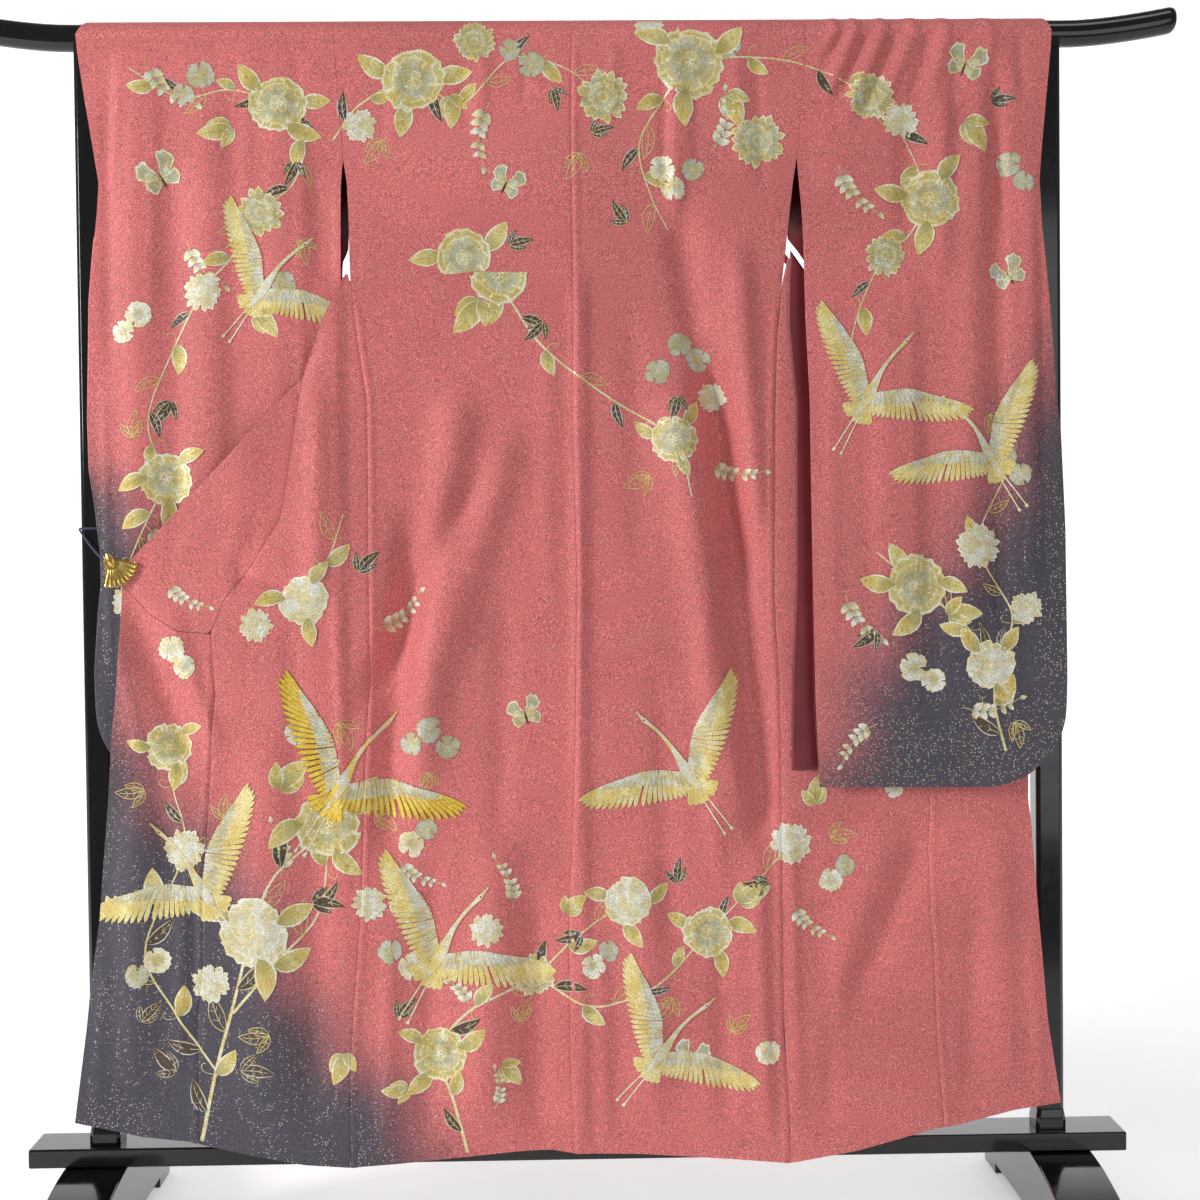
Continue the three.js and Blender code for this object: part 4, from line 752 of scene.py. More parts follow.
def collar_grid(heights=8):
    t = np.linspace(0, 1, heights + 1)[None, :]
    parts = []

    def add(x, top, low, place):
        z = mix(np.asarray(low)[:, None], np.asarray(top)[:, None], t)
        xs = np.broadcast_to(np.asarray(x, float)[:, None], z.shape)
        parts.append(np.stack((xs, place(xs, z), z), axis=2))

    x = np.linspace(COLLAR_END_X, -405, 46)
    add(x, band_top(x), collar_seam_low(x) + SEAM, lambda xs,
        z: -body_depth(xs, z) + COLLAR_SINK * smooth((xs + 470) / 60))
    turn = np.asarray(COLLAR_TURN, float)
    fine = np.linspace(0, len(turn) - 1, 50)
    x, y, top, low = (run_through(np.arange(len(turn)), turn[:, k], fine) for k in range(4))
    add(x, top, low, lambda xs, z: np.broadcast_to(y[:, None], z.shape))
    x = np.concatenate((np.linspace(-BAND_END_X, -NECK_HALF, 34),
                        np.linspace(-NECK_HALF, NECK_HALF, 33)[1:-1],
                        np.linspace(NECK_HALF, BAND_END_X, 34)))
    away = np.abs(x)
    apex = np.where(x < 0, LEFT_APEX[1], RIGHT_APEX[1])
    slope = np.where(x < 0, LEFT_FREE_SLOPE, RIGHT_FREE_SLOPE)
    share = (away - NECK_HALF) / (BAND_END_X - NECK_HALF)
    top = np.minimum(mix(BAR_HEIGHT, apex, share), BAR_HEIGHT) - SEAM
    hang = mix(BAND_LOW, BAR_HEIGHT - COLLAR_DROP, smooth((NECK_HALF - away) / 60))
    low = np.where(away > NECK_HALF, BAND_LOW - (away - NECK_HALF) * slope, hang)
    add(x, top, low, lambda xs, z: upper_y(z))
    x = np.concatenate((np.linspace(308, 358, 22), np.linspace(364, RIGHT_END_X, 44)))
    add(x, right_top(x), right_low(x),
        lambda xs, z: mix(UPPER_APEX_Y, -body_depth(xs, z), smooth((xs - RIGHT_OPEN_X) / 56)))
    return np.concatenate(parts)


def make_collar():
    middle = collar_grid()
    centre = middle.mean(axis=1)
    along = np.gradient(centre, axis=0)
    along[:, 2] = 0
    outward = np.stack((along[:, 1], -along[:, 0], 0 * along[:, 0]), axis=1)
    outward /= np.linalg.norm(outward, axis=1, keepdims=True)
    outward = np.broadcast_to(outward[:, None, :], middle.shape)
    cloth("collar", middle, outward, BODY_BORDERS, (0.06, 1.75),
          ("collar_left", "collar_shoulder_left", "collar_neck", "collar_shoulder_right", "collar_right"))


# %% [markdown]
# ## The long sleeves
# A furisode's sleeve is one loom width, folded over the bar, so it has a near and a far layer. The wrist
# side is sewn below the cuff, the bottom is sewn and its outer corner is rounded, and the side next to
# the body stays open. A small round roll closes the sewn edges.

# %% Sleeves
SLEEVE_APART = WALL + 0.4
CUFF_FAR_X = 646
CORNER = 115
SLEEVES = {
    "sleeve_left": {
        "side": -1, "seam": SIDE_LEFT, "borders": SLEEVE_LEFT_BORDERS, "bag": 14,
        "bottom": (641, 640),
        "wrist": ((755, -669), (804, -670), (883, -664), (926, -659), (967, -659), (1044, -667),
                  (1085, -673), (1155, -674), (1321, -669), (1376, -664), (1438, -657), (1482, -654),
                  (1528, -661), (1597, -672), (1652, -680), (1689, -685)),
        "inner": ((640, -331), (900, -327), (1200, -323), (1356, -320.5), (1427, -320), (1479, -319),
                  (1513, -316)),
        "far_inner": ((640, -331), (900, -327), (1200, -323), (1345, -320.5), (1372, -319.5),
                      (1388, -311.5), (1427, -310.5), (1479, -313), (1500, -315.5), (1513, -316)),
        "depths": ((640, 32), (1400, 32), (1513, 29.5), (1600, 27), (1664, 25), (1689, DRAPE_RADIUS)),
        "folds": ((-600, 1650, -610, 800, 24, 4), (-505, 1600, -500, 760, 26, 3.5),
                  (-552, 1500, -556, 800, 18, -3), (-400, 1620, -420, 760, 28, 3),
                  (-350, 1500, -346, 1340, 13, -3)),
        "fine_folds": ((-640, 1600, -642, 1250, 10, -1.8), (-622, 1660, -634, 1480, 8, 1.4),
                       (-575, 1640, -584, 1300, 9, 1.5), (-470, 1560, -474, 1100, 14, -1.6),
                       (-446, 1660, -452, 1500, 9, 1.2), (-372, 1560, -378, 1180, 10, 1.6),
                       (-530, 1120, -534, 760, 12, 1.4), (-336, 1495, -332, 1330, 6, -1.4),
                       (-650, 1180, -648, 820, 8, 1.2), (-380, 1660, -372, 1560, 8, -1.2),
                       (-500, 1370, -640, 1366, 4, -0.4), (-480, 1100, -650, 1098, 4, -0.4)),
    },
    "sleeve_right": {
        "side": 1, "seam": SIDE_RIGHT, "borders": SLEEVE_RIGHT_BORDERS, "bag": 14,
        "bottom": (630, 634),
        "wrist": ((745, 685), (785, 686), (991, 684), (1135, 678), (1170, 673), (1265, 668), (1336, 662),
                  (1406, 656), (1477, 654), (1566, 664), (1689, 677)),
        "inner": ((634, 339), (745, 334), (960, 331), (1173, 329), (1284, 324), (1402, 322), (1454, 320),
                  (1513, 316.5)),
        "far_inner": ((634, 339), (745, 334), (1173, 331), (1362, 329), (1380, 317), (1398, 303),
                      (1440, 300), (1480, 306), (1500, 314), (1513, 316.5)),
        "depths": ((634, 54), (900, 54), (1200, 52), (1400, 46), (1513, 34), (1600, 28), (1664, 25),
                   (1689, DRAPE_RADIUS)),
        "folds": ((379, 1698, 326, 1632, 7, 3.6), (391, 1698, 342, 1620, 6, -3),
                  (404, 1698, 362, 1606, 7, 3.6), (424, 1698, 374, 1596, 7, -3.4),
                  (444, 1698, 390, 1578, 7, 4), (462, 1698, 408, 1568, 7, -3.6),
                  (488, 1698, 436, 1584, 8, 3.6), (512, 1698, 474, 1586, 7, -2.8),
                  (532, 1698, 502, 1590, 8, 2.8), (520, 1600, 515, 1350, 18, 5),
                  (474, 1560, 466, 1400, 16, -4), (596, 1640, 606, 1420, 12, -4),
                  (640, 1500, 632, 900, 18, 4), (596, 1560, 592, 860, 16, -4),
                  (556, 1500, 548, 820, 20, 4), (440, 1300, 446, 760, 34, 4),
                  (496, 1200, 500, 740, 22, -3)),
        "fine_folds": ((540, 1660, 536, 1440, 8, -1.8), (572, 1640, 570, 1400, 9, 1.6),
                       (556, 1696, 544, 1620, 7, -2), (590, 1696, 586, 1630, 9, 2),
                       (630, 1696, 634, 1600, 8, -2), (612, 1560, 612, 1180, 8, 1.6),
                       (652, 1420, 654, 1080, 8, -1.6), (470, 1340, 476, 900, 12, 1.8),
                       (408, 1200, 412, 800, 14, -1.8), (362, 1300, 360, 860, 12, 1.6),
                       (626, 1060, 630, 760, 10, -1.5), (580, 1000, 586, 700, 12, 1.5)),
    },
}


class Sleeve:
    """The places of one sleeve's near and far layers."""

    def __init__(self, facts):
        self.__dict__.update(facts)
        self.folds = self.folds + self.fine_folds

    def seam_x(self, z):
        return look_up(self.seam, z) + self.side * SEAM / 2

    def inner_x(self, z, far):
        table = self.far_inner if far else self.inner
        return np.where(z >= ARMHOLE_Z, self.seam_x(z), look_up(table, z) + self.side * SEAM / 2)

    def plain_depth(self, z):
        heights, depths = zip(*self.depths)
        return run_through(heights, depths, z)

    def near_depth(self, x, z):
        own = self.plain_depth(z) + FOLD_GAIN * fold_lift(self.folds, x, z)
        own = np.maximum(own, np.sqrt(np.maximum(BAR_RADIUS**2 - (BAR_HEIGHT - z) ** 2, 0)) + 1.5)
        seam = look_up(self.seam, np.maximum(z, ARMHOLE_Z))
        joined = (1 - smooth(np.abs(x - seam) / 55)) * smooth((z - ARMHOLE_Z + 90) / 90)
        return mix(own, body_depth(look_up(self.seam, z), z), joined)

    def far_y(self, x, z, u, bottom):
        start = BAR_HEIGHT - 25
        swing = mix(smooth((start - z) / (start - CUFF_Z)), smooth((ARMHOLE_Z - z) / 133),
                    smooth((u - 0.05) / 0.95))
        from_wrist = np.abs(look_up(self.wrist, z)) - np.abs(x)
        opened = smooth((from_wrist - 34) / 100) * smooth((z - bottom) / 110)
        depth = mix(self.near_depth(x, z), self.plain_depth(z) - self.bag, opened) - SLEEVE_APART
        behind_bar = DRAPE_RADIUS + 2 * smooth((BAR_HEIGHT - z) / 80)
        return mix(behind_bar, -depth, swing)

    def layer(self, heights, u, far, bottom):
        outer = look_up(self.wrist, heights[:, :1])
        if far:
            limit = mix(CUFF_FAR_X, 700, smooth((CUFF_Z - 8 - heights[:, :1]) / 60))
            outer = self.side * np.minimum(np.abs(outer), limit)
        x = mix(outer, self.inner_x(heights[:, -1:], far), u)
        y = self.far_y(x, heights, u, bottom) if far else -self.near_depth(x, heights)
        return np.stack((x, y, heights), axis=2)


def make_sleeve(node, leg_rows=100, upper_rows=24):
    sleeve = Sleeve(SLEEVES[node])
    u = run_of((0, 0.03, 0.07, 0.14, 0.23, 0.33, 0.44, 0.56, 0.68, 0.8, 0.9, 1), 74)[None, :]
    width = 350
    base = mix(sleeve.bottom[0], sleeve.bottom[1], u)
    reach = np.maximum(CORNER - u * width, 0)
    bottom = base + CORNER - np.sqrt(CORNER**2 - reach**2)
    legs = mix(bottom, ARMHOLE_Z, np.linspace(0, 1, leg_rows + 1)[:-1, None])
    upper = np.broadcast_to(run_of(ARMHOLE_LEVELS, upper_rows)[:, None], (upper_rows + 1, u.size))
    heights = np.concatenate((legs, upper))
    near, far = (sleeve.layer(heights, u, layer, bottom) for layer in (False, True))
    turns = np.linspace(0, math.pi, ARCH_STEPS + 1)[1:-1]
    wrist_x = mix(look_up(sleeve.wrist, BAR_HEIGHT), sleeve.side * 650, turns / math.pi)[:, None]
    gathered = (-near[-1, :, 1] - DRAPE_RADIUS)[None, :] * (1 - smooth(turns / 2.0))[:, None]
    over, over_out = arch_grid(mix(wrist_x, sleeve.seam_x(BAR_HEIGHT), u), turns, gathered)
    middle = np.concatenate((near, over, far[::-1]))
    outward = np.concatenate((facing(TO_VIEWER, near.shape[:2]), over_out, facing(TO_BACK, far.shape[:2])))
    piece = cloth(node, middle, outward, sleeve.borders, (0.36, 2.12))
    sewn = heights[:, 0] < CUFF_Z - 70
    rim_near = np.concatenate((near[sewn, 0][::-1], near[0, 1:]))
    rim_far = np.concatenate((far[sewn, 0][::-1], far[0, 1:]))
    return piece, rim_near, rim_far


def close_sewn_edge(name, rim_near, rim_far, borders, segments=6):
    """A half-round roll from the near layer's face to the far layer's, along the sewn edges."""
    along = np.gradient(rim_near, axis=0)
    out = np.stack((-along[:, 2], 0 * along[:, 0], along[:, 0]), axis=1)
    out /= np.linalg.norm(out, axis=1, keepdims=True)
    centre = (rim_near + rim_far) / 2
    if (out[0] * centre[0])[0] < 0:
        out = -out
    half = (rim_far[:, 1:2] - rim_near[:, 1:2] + SHELL) / 2
    turn = np.linspace(0, math.pi, segments + 1)
    ring = [centre + out * np.sin(a) * half * 0.8 - np.array(TO_BACK) * np.cos(a) * half for a in turn]
    grid = np.stack(ring, axis=1)
    piece = new_mesh(name, grid.reshape(-1, 3), grid_faces(*grid.shape[:2]), (CREPE,))
    paint(piece, "slate_share", slate_share(borders, grid[..., 0].ravel(), grid[..., 2].ravel())[:, None])
    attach(piece, "root")
    return piece


# %% Making every sewn piece
make_back("back_left", SIDE_LEFT, -1)
make_back("back_right", SIDE_RIGHT, 1)
make_front_left()
make_okumi_left()
make_front_right()
make_okumi_right()
make_upper_front("front_left_upper", UPPER_SIDE_LEFT, LEFT_APEX)
make_upper_front("front_right_upper", UPPER_SIDE_RIGHT, RIGHT_APEX)
make_collar()
for node in SLEEVES:
    piece, rim_near, rim_far = make_sleeve(node)
    close_sewn_edge(node + "_sewn_edge", rim_near, rim_far, SLEEVES[node]["borders"])

# %% The strip of red lining in the right side opening
LINING_EDGE = ((655, 302), (781, 304), (925, 311), (1174, 312), (1286, 302), (1343, 303), (1383, 306))
LINING_RIGHT_X = 350
LINING_LIFT = WALL / 2 + CLEAR + 1.7


def make_lining_strip():
    t = np.linspace(0, 1, 91)[:, None]
    u = np.linspace(0, 1, 9)[None, :]
    left_z = mix(LINING_EDGE[0][0], 1383, t)
    x = mix(look_up(LINING_EDGE, left_z), LINING_RIGHT_X, u)
    z = mix(left_z, mix(LINING_EDGE[0][0], right_top(LINING_RIGHT_X), t), u)
    y = -body_depth(x, z) - LINING_LIFT
    points = np.concatenate((np.stack((x, y - 0.4, z), axis=2),
                             np.stack((x, y + 0.4, z), axis=2))).reshape(-1, 3)
    piece = new_mesh("lining_right_silk", points, shell_faces(*x.shape)[:, ::-1], (LINING,))
    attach(piece, "root")
    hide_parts("lining_right")


make_lining_strip()

# %% [markdown]
# ## The stand
# A folding lacquered stand: a round bar whose ends lift a little, two square posts with their corners
# taken off, a flat beam below and two arched feet. The plain solids already have the right form; these
# pieces add rounded bar ends and softened edges, because a sharp edge never catches the light.

# %% Stand pieces
BAR = {"half": 858, "bend_x": 702, "end_rise": 20, "cap": 12}
POST = {"x": 670, "half_x": 19, "half_y": 22, "cut": 5, "low": 164.6,
        "neck": 1640, "tip": 1682, "side": 1670}
BEAM = {"half": 773, "half_y": 41, "low": 109, "high": 136}
FOOT = {"x": 680, "half_x": 44, "half_y": 285, "top": 108.7, "end": 55, "under": 20.3}
PAD = {"half_x": 40, "inner": 205, "outer": 280, "height": 20}


def dress(piece, nodes):
    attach(piece, "root")
    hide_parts(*nodes)
    return piece


def round_edges(piece, width, segments=3, angle=30):
    """Softens the edges sharper than an angle, for good."""
    mesh = bmesh.new()
    mesh.from_mesh(piece.data)
    sharp = [e for e in mesh.edges if len(e.link_faces) == 2 and e.calc_face_angle() > math.radians(angle)]
    bmesh.ops.bevel(mesh, geom=sharp, offset=width * MM, segments=segments, profile=0.5, affect="EDGES")
    for face in mesh.faces:
        face.smooth = True
    mesh.to_mesh(piece.data)
    mesh.free()
    weighted = piece.modifiers.new("even_shading", "WEIGHTED_NORMAL")
    weighted.keep_sharp = False
    return piece


def make_bar(sides=40):
    def rise_at(x):
        share = (np.abs(x) - BAR["bend_x"]) / (BAR["half"] - BAR["bend_x"])
        return BAR["end_rise"] * np.clip(share, 0, 1) ** 1.6

    angles = np.linspace(0, math.pi / 2, 7)
    caps = BAR["half"] - BAR["cap"] * (1 - np.sin(angles))
    body = np.linspace(-BAR["half"] + BAR["cap"], BAR["half"] - BAR["cap"], 90)
    x = np.concatenate((-caps[1:][::-1], body, caps[1:]))
    radius = np.concatenate(((np.cos(angles)[1:][::-1]), np.ones(90), np.cos(angles)[1:]))
    radius = BAR_RADIUS * np.maximum(radius ** 0.55, 0.02)
    turn = np.linspace(0, 2 * math.pi, sides + 1)
    y, z = radius[:, None] * np.cos(turn), BAR_HEIGHT + rise_at(x)[:, None] + radius[:, None] * np.sin(turn)
    points = np.stack(np.broadcast_arrays(x[:, None], y, z), axis=2)
    piece = new_mesh("bar_lacquer", points.reshape(-1, 3), grid_faces(len(x), sides + 1), (LACQUER,))
    close_up(piece)
    return dress(piece, ["stand_bar"])


def close_up(piece):
    """Welds the meeting points, fills any hole and turns the faces outward."""
    mesh = bmesh.new()
    mesh.from_mesh(piece.data)
    bmesh.ops.remove_doubles(mesh, verts=mesh.verts, dist=0.02 * MM)
    bmesh.ops.holes_fill(mesh, edges=[e for e in mesh.edges if e.is_boundary])
    bmesh.ops.recalc_face_normals(mesh, faces=mesh.faces)
    for face in mesh.faces:
        face.smooth = True
    mesh.to_mesh(piece.data)
    mesh.free()


def block(name, low, high, width=2.0):
    """A box between two corners, in mm, with softened edges."""
    x, y, z = ([low[k], high[k]] for k in range(3))
    points = [(a, b, c) for c in z for b in y for a in x]
    faces = [(0, 2, 3, 1), (4, 5, 7, 6), (0, 1, 5, 4), (2, 6, 7, 3), (0, 4, 6, 2), (1, 3, 7, 5)]
    return round_edges(new_mesh(name, points, faces, (LACQUER,)), width)


def ring_tower(name, rings, width, segments=3, angle=30):
    """Closed rings of points one above another, capped, with softened edges."""
    sides = len(rings[0])
    points = np.concatenate(rings)
    faces = [(r * sides + s, r * sides + (s + 1) % sides, (r + 1) * sides + (s + 1) % sides,
              (r + 1) * sides + s)
             for r in range(len(rings) - 1) for s in range(sides)]
    piece = new_mesh(name, points, faces, (LACQUER,))
    close_up(piece)
    return round_edges(piece, width, segments, angle)


def post_ring(x, z, half_x, half_y, cut):
    corners = ((half_x, half_y - cut), (half_x - cut, half_y), (-half_x + cut, half_y),
               (-half_x, half_y - cut), (-half_x, -half_y + cut), (-half_x + cut, -half_y),
               (half_x - cut, -half_y), (half_x, -half_y + cut))
    return np.array([(x + dx, y, z) for dx, y in corners])


def make_post(side, x):
    """The post's top is hollowed to the bar's round by moving its upper points down to the bar."""
    section = [np.array(p) for p in post_ring(x, 0, POST["half_x"], POST["half_y"], POST["cut"])]
    outline = []
    for a, b in zip(section, section[1:] + section[:1]):
        steps = max(1, round(np.linalg.norm(b - a) / 4))
        outline += [mix(a, b, k / steps) for k in range(steps)]
    outline = np.array(outline)
    y = outline[:, 1]
    hollow = BAR_HEIGHT - np.sqrt(np.maximum((BAR_RADIUS + CLEAR) ** 2 - y**2, 0))
    top = np.where(np.abs(y) < BAR_RADIUS, np.minimum(hollow, POST["tip"]), POST["side"])
    rings = [np.column_stack((across, y, height)) for across, height in (
        (outline[:, 0], np.full(len(y), POST["low"])), (outline[:, 0], np.full(len(y), POST["neck"])),
        (outline[:, 0], top), (np.full(len(y), x), top))]
    return dress(ring_tower(f"post_{side}_lacquer", rings, 0.8, 2, 40), [f"post_{side}"])


def make_post_foot(side, x):
    foot = BEAM["high"] + CLEAR
    rings = [post_ring(x, z, POST["half_x"] + flare, POST["half_y"] + flare, POST["cut"])
             for z, flare in ((foot, 2.5), (foot + 12, 2.5), (foot + 20, 1.2), (foot + 28, 0))]
    return dress(ring_tower(f"post_foot_{side}_lacquer", rings, 0.6), [f"post_foot_{side}"])


def make_foot(side, x):
    y = np.linspace(FOOT["half_y"], -FOOT["half_y"], 41)
    top = FOOT["top"] - (FOOT["top"] - FOOT["end"]) * (y / FOOT["half_y"]) ** 2
    across = np.array((-1, 1)) * FOOT["half_x"] + x
    profile = np.concatenate((np.stack((y, top), axis=1),
                              [(-FOOT["half_y"], FOOT["under"]), (FOOT["half_y"], FOOT["under"])]))
    rings = [np.column_stack((np.full(len(profile), a), profile)) for a in across]
    piece = dress(ring_tower(f"foot_{side}_lacquer", rings, 2.5), [f"foot_{side}"])
    for end, sign in (("near", -1), ("far", 1)):
        low, high = sorted((sign * PAD["inner"], sign * PAD["outer"]))
        pad = block(f"pad_{side}_{end}_lacquer", (x - PAD["half_x"], low, 0),
                    (x + PAD["half_x"], high, PAD["height"]), 1.5)
        dress(pad, [f"pad_{side}_{end}"])
    return piece


make_bar()
for side, sign in (("left", -1), ("right", 1)):
    make_post(side, sign * POST["x"])
    make_post_foot(side, sign * POST["x"])
    make_foot(side, sign * FOOT["x"])
beam = block("beam_lacquer", (-BEAM["half"], -BEAM["half_y"], BEAM["low"]),
             (BEAM["half"], BEAM["half_y"], BEAM["high"]), 3.0)
dress(beam, ["base_beam"])
print("stand dressed")

# %% [markdown]
# ## The fan clip and its cord
# A small sprung clip in the form of an open folding fan holds the drawn-aside okumi. Its face is a flat
# sector whose nine ribs stand up; a leaf covers the pivot. It hangs from a purple cord tied round the
# post. The fan is a polar grid whose height follows the ribs, so the relief is real metal.

# %% The clip
CLIP = {"x": -641, "z": 959, "radius": 38, "start": -4, "end": -105, "front": 53, "back": 48, "plate": 2.4}
RIBS = 9


def make_fan():
    turn = np.radians(np.linspace(CLIP["start"], CLIP["end"], RIBS * 12 + 1))[:, None]
    reach = np.array((3, 7, 9, 12, 14, 15.5, 17, 22, 28, 33, 34.5, 36, 37.2, 38.0))[None, :]
    phase = (turn - turn[0]) / (turn[-1] - turn[0]) * RIBS
    rib = np.abs(np.sin(math.pi * phase))
    edge_pull = 1 - 0.05 * (1 - rib) * (reach > 33)
    slat = smooth((rib - 0.35) / 0.4) * (0.5 + 1.0 * smooth((reach - 12) / 10))
    band = np.maximum(np.exp(-(((reach - 16) / 1.2) ** 2)), np.exp(-(((reach - 36.8) / 1.0) ** 2)))
    height = np.maximum(slat * (reach > 12), 0.9 * band) + 0.8 * (reach < 11)
    r = reach * edge_pull
    x, z = CLIP["x"] + r * np.cos(turn), CLIP["z"] + r * np.sin(turn)
    face_y = np.full_like(x, -CLIP["front"] - CLIP["plate"] + 0.6) - height * 0.8
    back_y = np.full_like(x, -CLIP["front"])
    grid = np.stack((x, face_y, z), axis=2), np.stack((x, back_y, z), axis=2)
    points = np.concatenate([g.reshape(-1, 3) for g in grid])
    piece = new_mesh("fan_clip_gold", points, shell_faces(*x.shape), (GOLD,))
    close_up(piece)
    return piece


def gold_block(name, low, high, width=0.5):
    piece = block(name, low, high, width)
    piece.data.materials[0] = GOLD
    return piece


def make_leaf_boss():
    """The leaf over the pivot, swelling in the middle and pointed at its ends."""
    t = np.linspace(0, 1, 17)[:, None]
    c = np.linspace(-1, 1, 9)[None, :]
    along = mix(-11, 12, t)
    half = 5.2 * np.sin(math.pi * t) ** 0.8 * (1 + 0.08 * np.cos(t * 28)) + 0.15
    lean = math.radians(118)
    axis, side = np.array((math.cos(lean), math.sin(lean))), np.array((-math.sin(lean), math.cos(lean)))
    x = CLIP["x"] + along * axis[0] + half * c * side[0]
    z = CLIP["z"] + along * axis[1] + half * c * side[1]
    vein = np.exp(-((c / 0.18) ** 2)) + 0.5 * (np.sin(t * 34 + np.abs(c) * 6) > 0.2)
    swell = np.sin(math.pi * t)
    y = -CLIP["front"] - CLIP["plate"] - 1.6 * (1 - c**2) * swell - 0.35 * vein * swell
    front, back = np.stack((x, y, z), axis=2), np.stack((x, np.full_like(x, -CLIP["front"] - 1), z), axis=2)
    points = np.concatenate((front.reshape(-1, 3), back.reshape(-1, 3)))
    piece = new_mesh("clip_leaf", points, shell_faces(*x.shape), (GOLD,))
    close_up(piece)
    return piece


def join_pieces(pieces, name):
    """Joins pieces into the first one."""
    for o in bpy.context.selected_objects:
        o.select_set(False)
    for piece in pieces:
        for modifier in list(piece.modifiers):
            piece.modifiers.remove(modifier)
        piece.select_set(True)
    bpy.context.view_layer.objects.active = pieces[0]
    bpy.ops.object.join()
    pieces[0].name = name
    return pieces[0]


clip_bridge = gold_block("clip_bridge", (CLIP["x"] - 9, -CLIP["front"] - CLIP["plate"], CLIP["z"] - 7),
                         (CLIP["x"] + 4, -CLIP["back"] + 2, CLIP["z"] + 6))
clip_jaw = gold_block("clip_jaw", (CLIP["x"] - 9, -CLIP["back"], CLIP["z"] - 24),
                      (CLIP["x"] + 28, -CLIP["back"] + 2, CLIP["z"] + 2))
dress(join_pieces([make_fan(), make_leaf_boss(), clip_bridge, clip_jaw], "fan_clip_gold"), ["fan_clip"])

# %% The cord round the post and down to the clip
CORD_RADIUS, CORD_Z, CORD_SAG = 1.5, 1004, 3


def twisted_cord(name, path, closed=False, sides=12, turns_per_mm=0.22):
    """A round cord with two strands wound round each other."""
    path = np.asarray(path, float)
    after, before = np.roll(path, -1, axis=0), np.roll(path, 1, axis=0)
    if not closed:
        after[-1], before[0] = path[-1], path[0]
    along = after - before
    along /= np.linalg.norm(along, axis=1, keepdims=True)
    across = np.cross(along, (0, 0, 1.0))
    across /= np.linalg.norm(across, axis=1, keepdims=True)
    lift = np.cross(across, along)
    travelled = np.concatenate(([0], np.cumsum(np.linalg.norm(np.diff(path, axis=0), axis=1))))[:, None]
    turn = np.linspace(0, 2 * math.pi, sides + 1)[None, :]
    radius = CORD_RADIUS * (0.93 + 0.07 * np.cos(2 * turn - travelled * turns_per_mm * 2 * math.pi))
    points = (path[:, None] + across[:, None] * (radius * np.cos(turn))[..., None]
              + lift[:, None] * (radius * np.sin(turn))[..., None])
    if closed:
        points = np.concatenate((points, points[:1]))
    piece = new_mesh(name, points.reshape(-1, 3), grid_faces(points.shape[0], sides + 1), (CORD_SILK,))
    close_up(piece)
    return piece


def cord_turn_path():
    gap = CORD_RADIUS + CLEAR
    half_x, half_y, bend = POST["half_x"] + gap, POST["half_y"] + gap, 6
    path = []
    for sign_x, sign_y, start in ((1, 1, 0), (-1, 1, 90), (-1, -1, 180), (1, -1, 270)):
        for angle in np.radians(np.linspace(start, start + 90, 9)):
            path.append((-POST["x"] + sign_x * (half_x - bend) + bend * math.cos(angle),
                         sign_y * (half_y - bend) + bend * math.sin(angle), CORD_Z))
    fine = []
    for a, b in zip(path, path[1:] + path[:1]):
        a, b = np.array(a), np.array(b)
        steps = max(1, int(np.linalg.norm(b - a) / 1.5))
        fine += [mix(a, b, k / steps) for k in range(steps)]
    return np.array(fine)


dress(twisted_cord("clip_cord_turn_silk", cord_turn_path(), closed=True), ["clip_cord_turn"])
gap = CORD_RADIUS + CLEAR
cord_start = np.array((CLIP["x"] - 9 - gap, -CLIP["front"] + 1, CLIP["z"] + 1))
cord_end = np.array((-POST["x"] - POST["half_x"] - gap + 1,
                     -POST["half_y"] - gap - 2 * CORD_RADIUS - CLEAR, CORD_Z - 1))
share = np.linspace(0, 1, 60)[:, None]
cord_path = mix(cord_start, cord_end, share)
cord_path[:, 2] -= CORD_SAG * 4 * share[:, 0] * (1 - share[:, 0])
cord = dress(twisted_cord("clip_cord_silk", cord_path), ["clip_cord"])

# %% [markdown]
# ## Tapes behind the seams, with painted shade
# A real seam has two turned-in allowances behind it, so no daylight comes through. A narrow strip of
# dark red lining just behind each seam line does the same here. Its dark colour is also painted shade:
# it darkens each seam line as the shadow in a seam would. Each strip follows the cloth's own depth.

# %% Seam tapes
TAPE_HALF, TAPE_BEHIND = 5.0, SHELL / 2 + 0.35


def seam_shade_tape(name, x, z, depth):
    """A strip behind the line x, z; depth gives the cloth's depth at a place."""
    x, z = np.asarray(x, float), np.asarray(z, float)
    along = np.stack((np.gradient(x), np.gradient(z)), axis=1)
    along /= np.linalg.norm(along, axis=1, keepdims=True)
    offset = np.array((-1, 0, 1)) * TAPE_HALF
    xs = x[:, None] - along[:, 1:] * offset
    zs = z[:, None] + along[:, :1] * offset
    grid = np.stack((xs, -depth(xs, zs) + TAPE_BEHIND, zs), axis=2)
    # The strip is dark lining silk: painted shade that darkens the seam line seen through the gap.
    piece = new_mesh(name, grid.reshape(-1, 3), grid_faces(*xs.shape), (LINING,))
    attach(piece, "root")


def upright_seam_shade_tape(name, table, low, high, depth=body_depth):
    z = np.linspace(low, high, int((high - low) / 8))
    seam_shade_tape(name, look_up(table, z), z, depth)


def armhole_depth(node):
    sleeve = Sleeve(SLEEVES[node])
    return lambda x, z: np.minimum(body_depth(x, z), sleeve.near_depth(x, z))


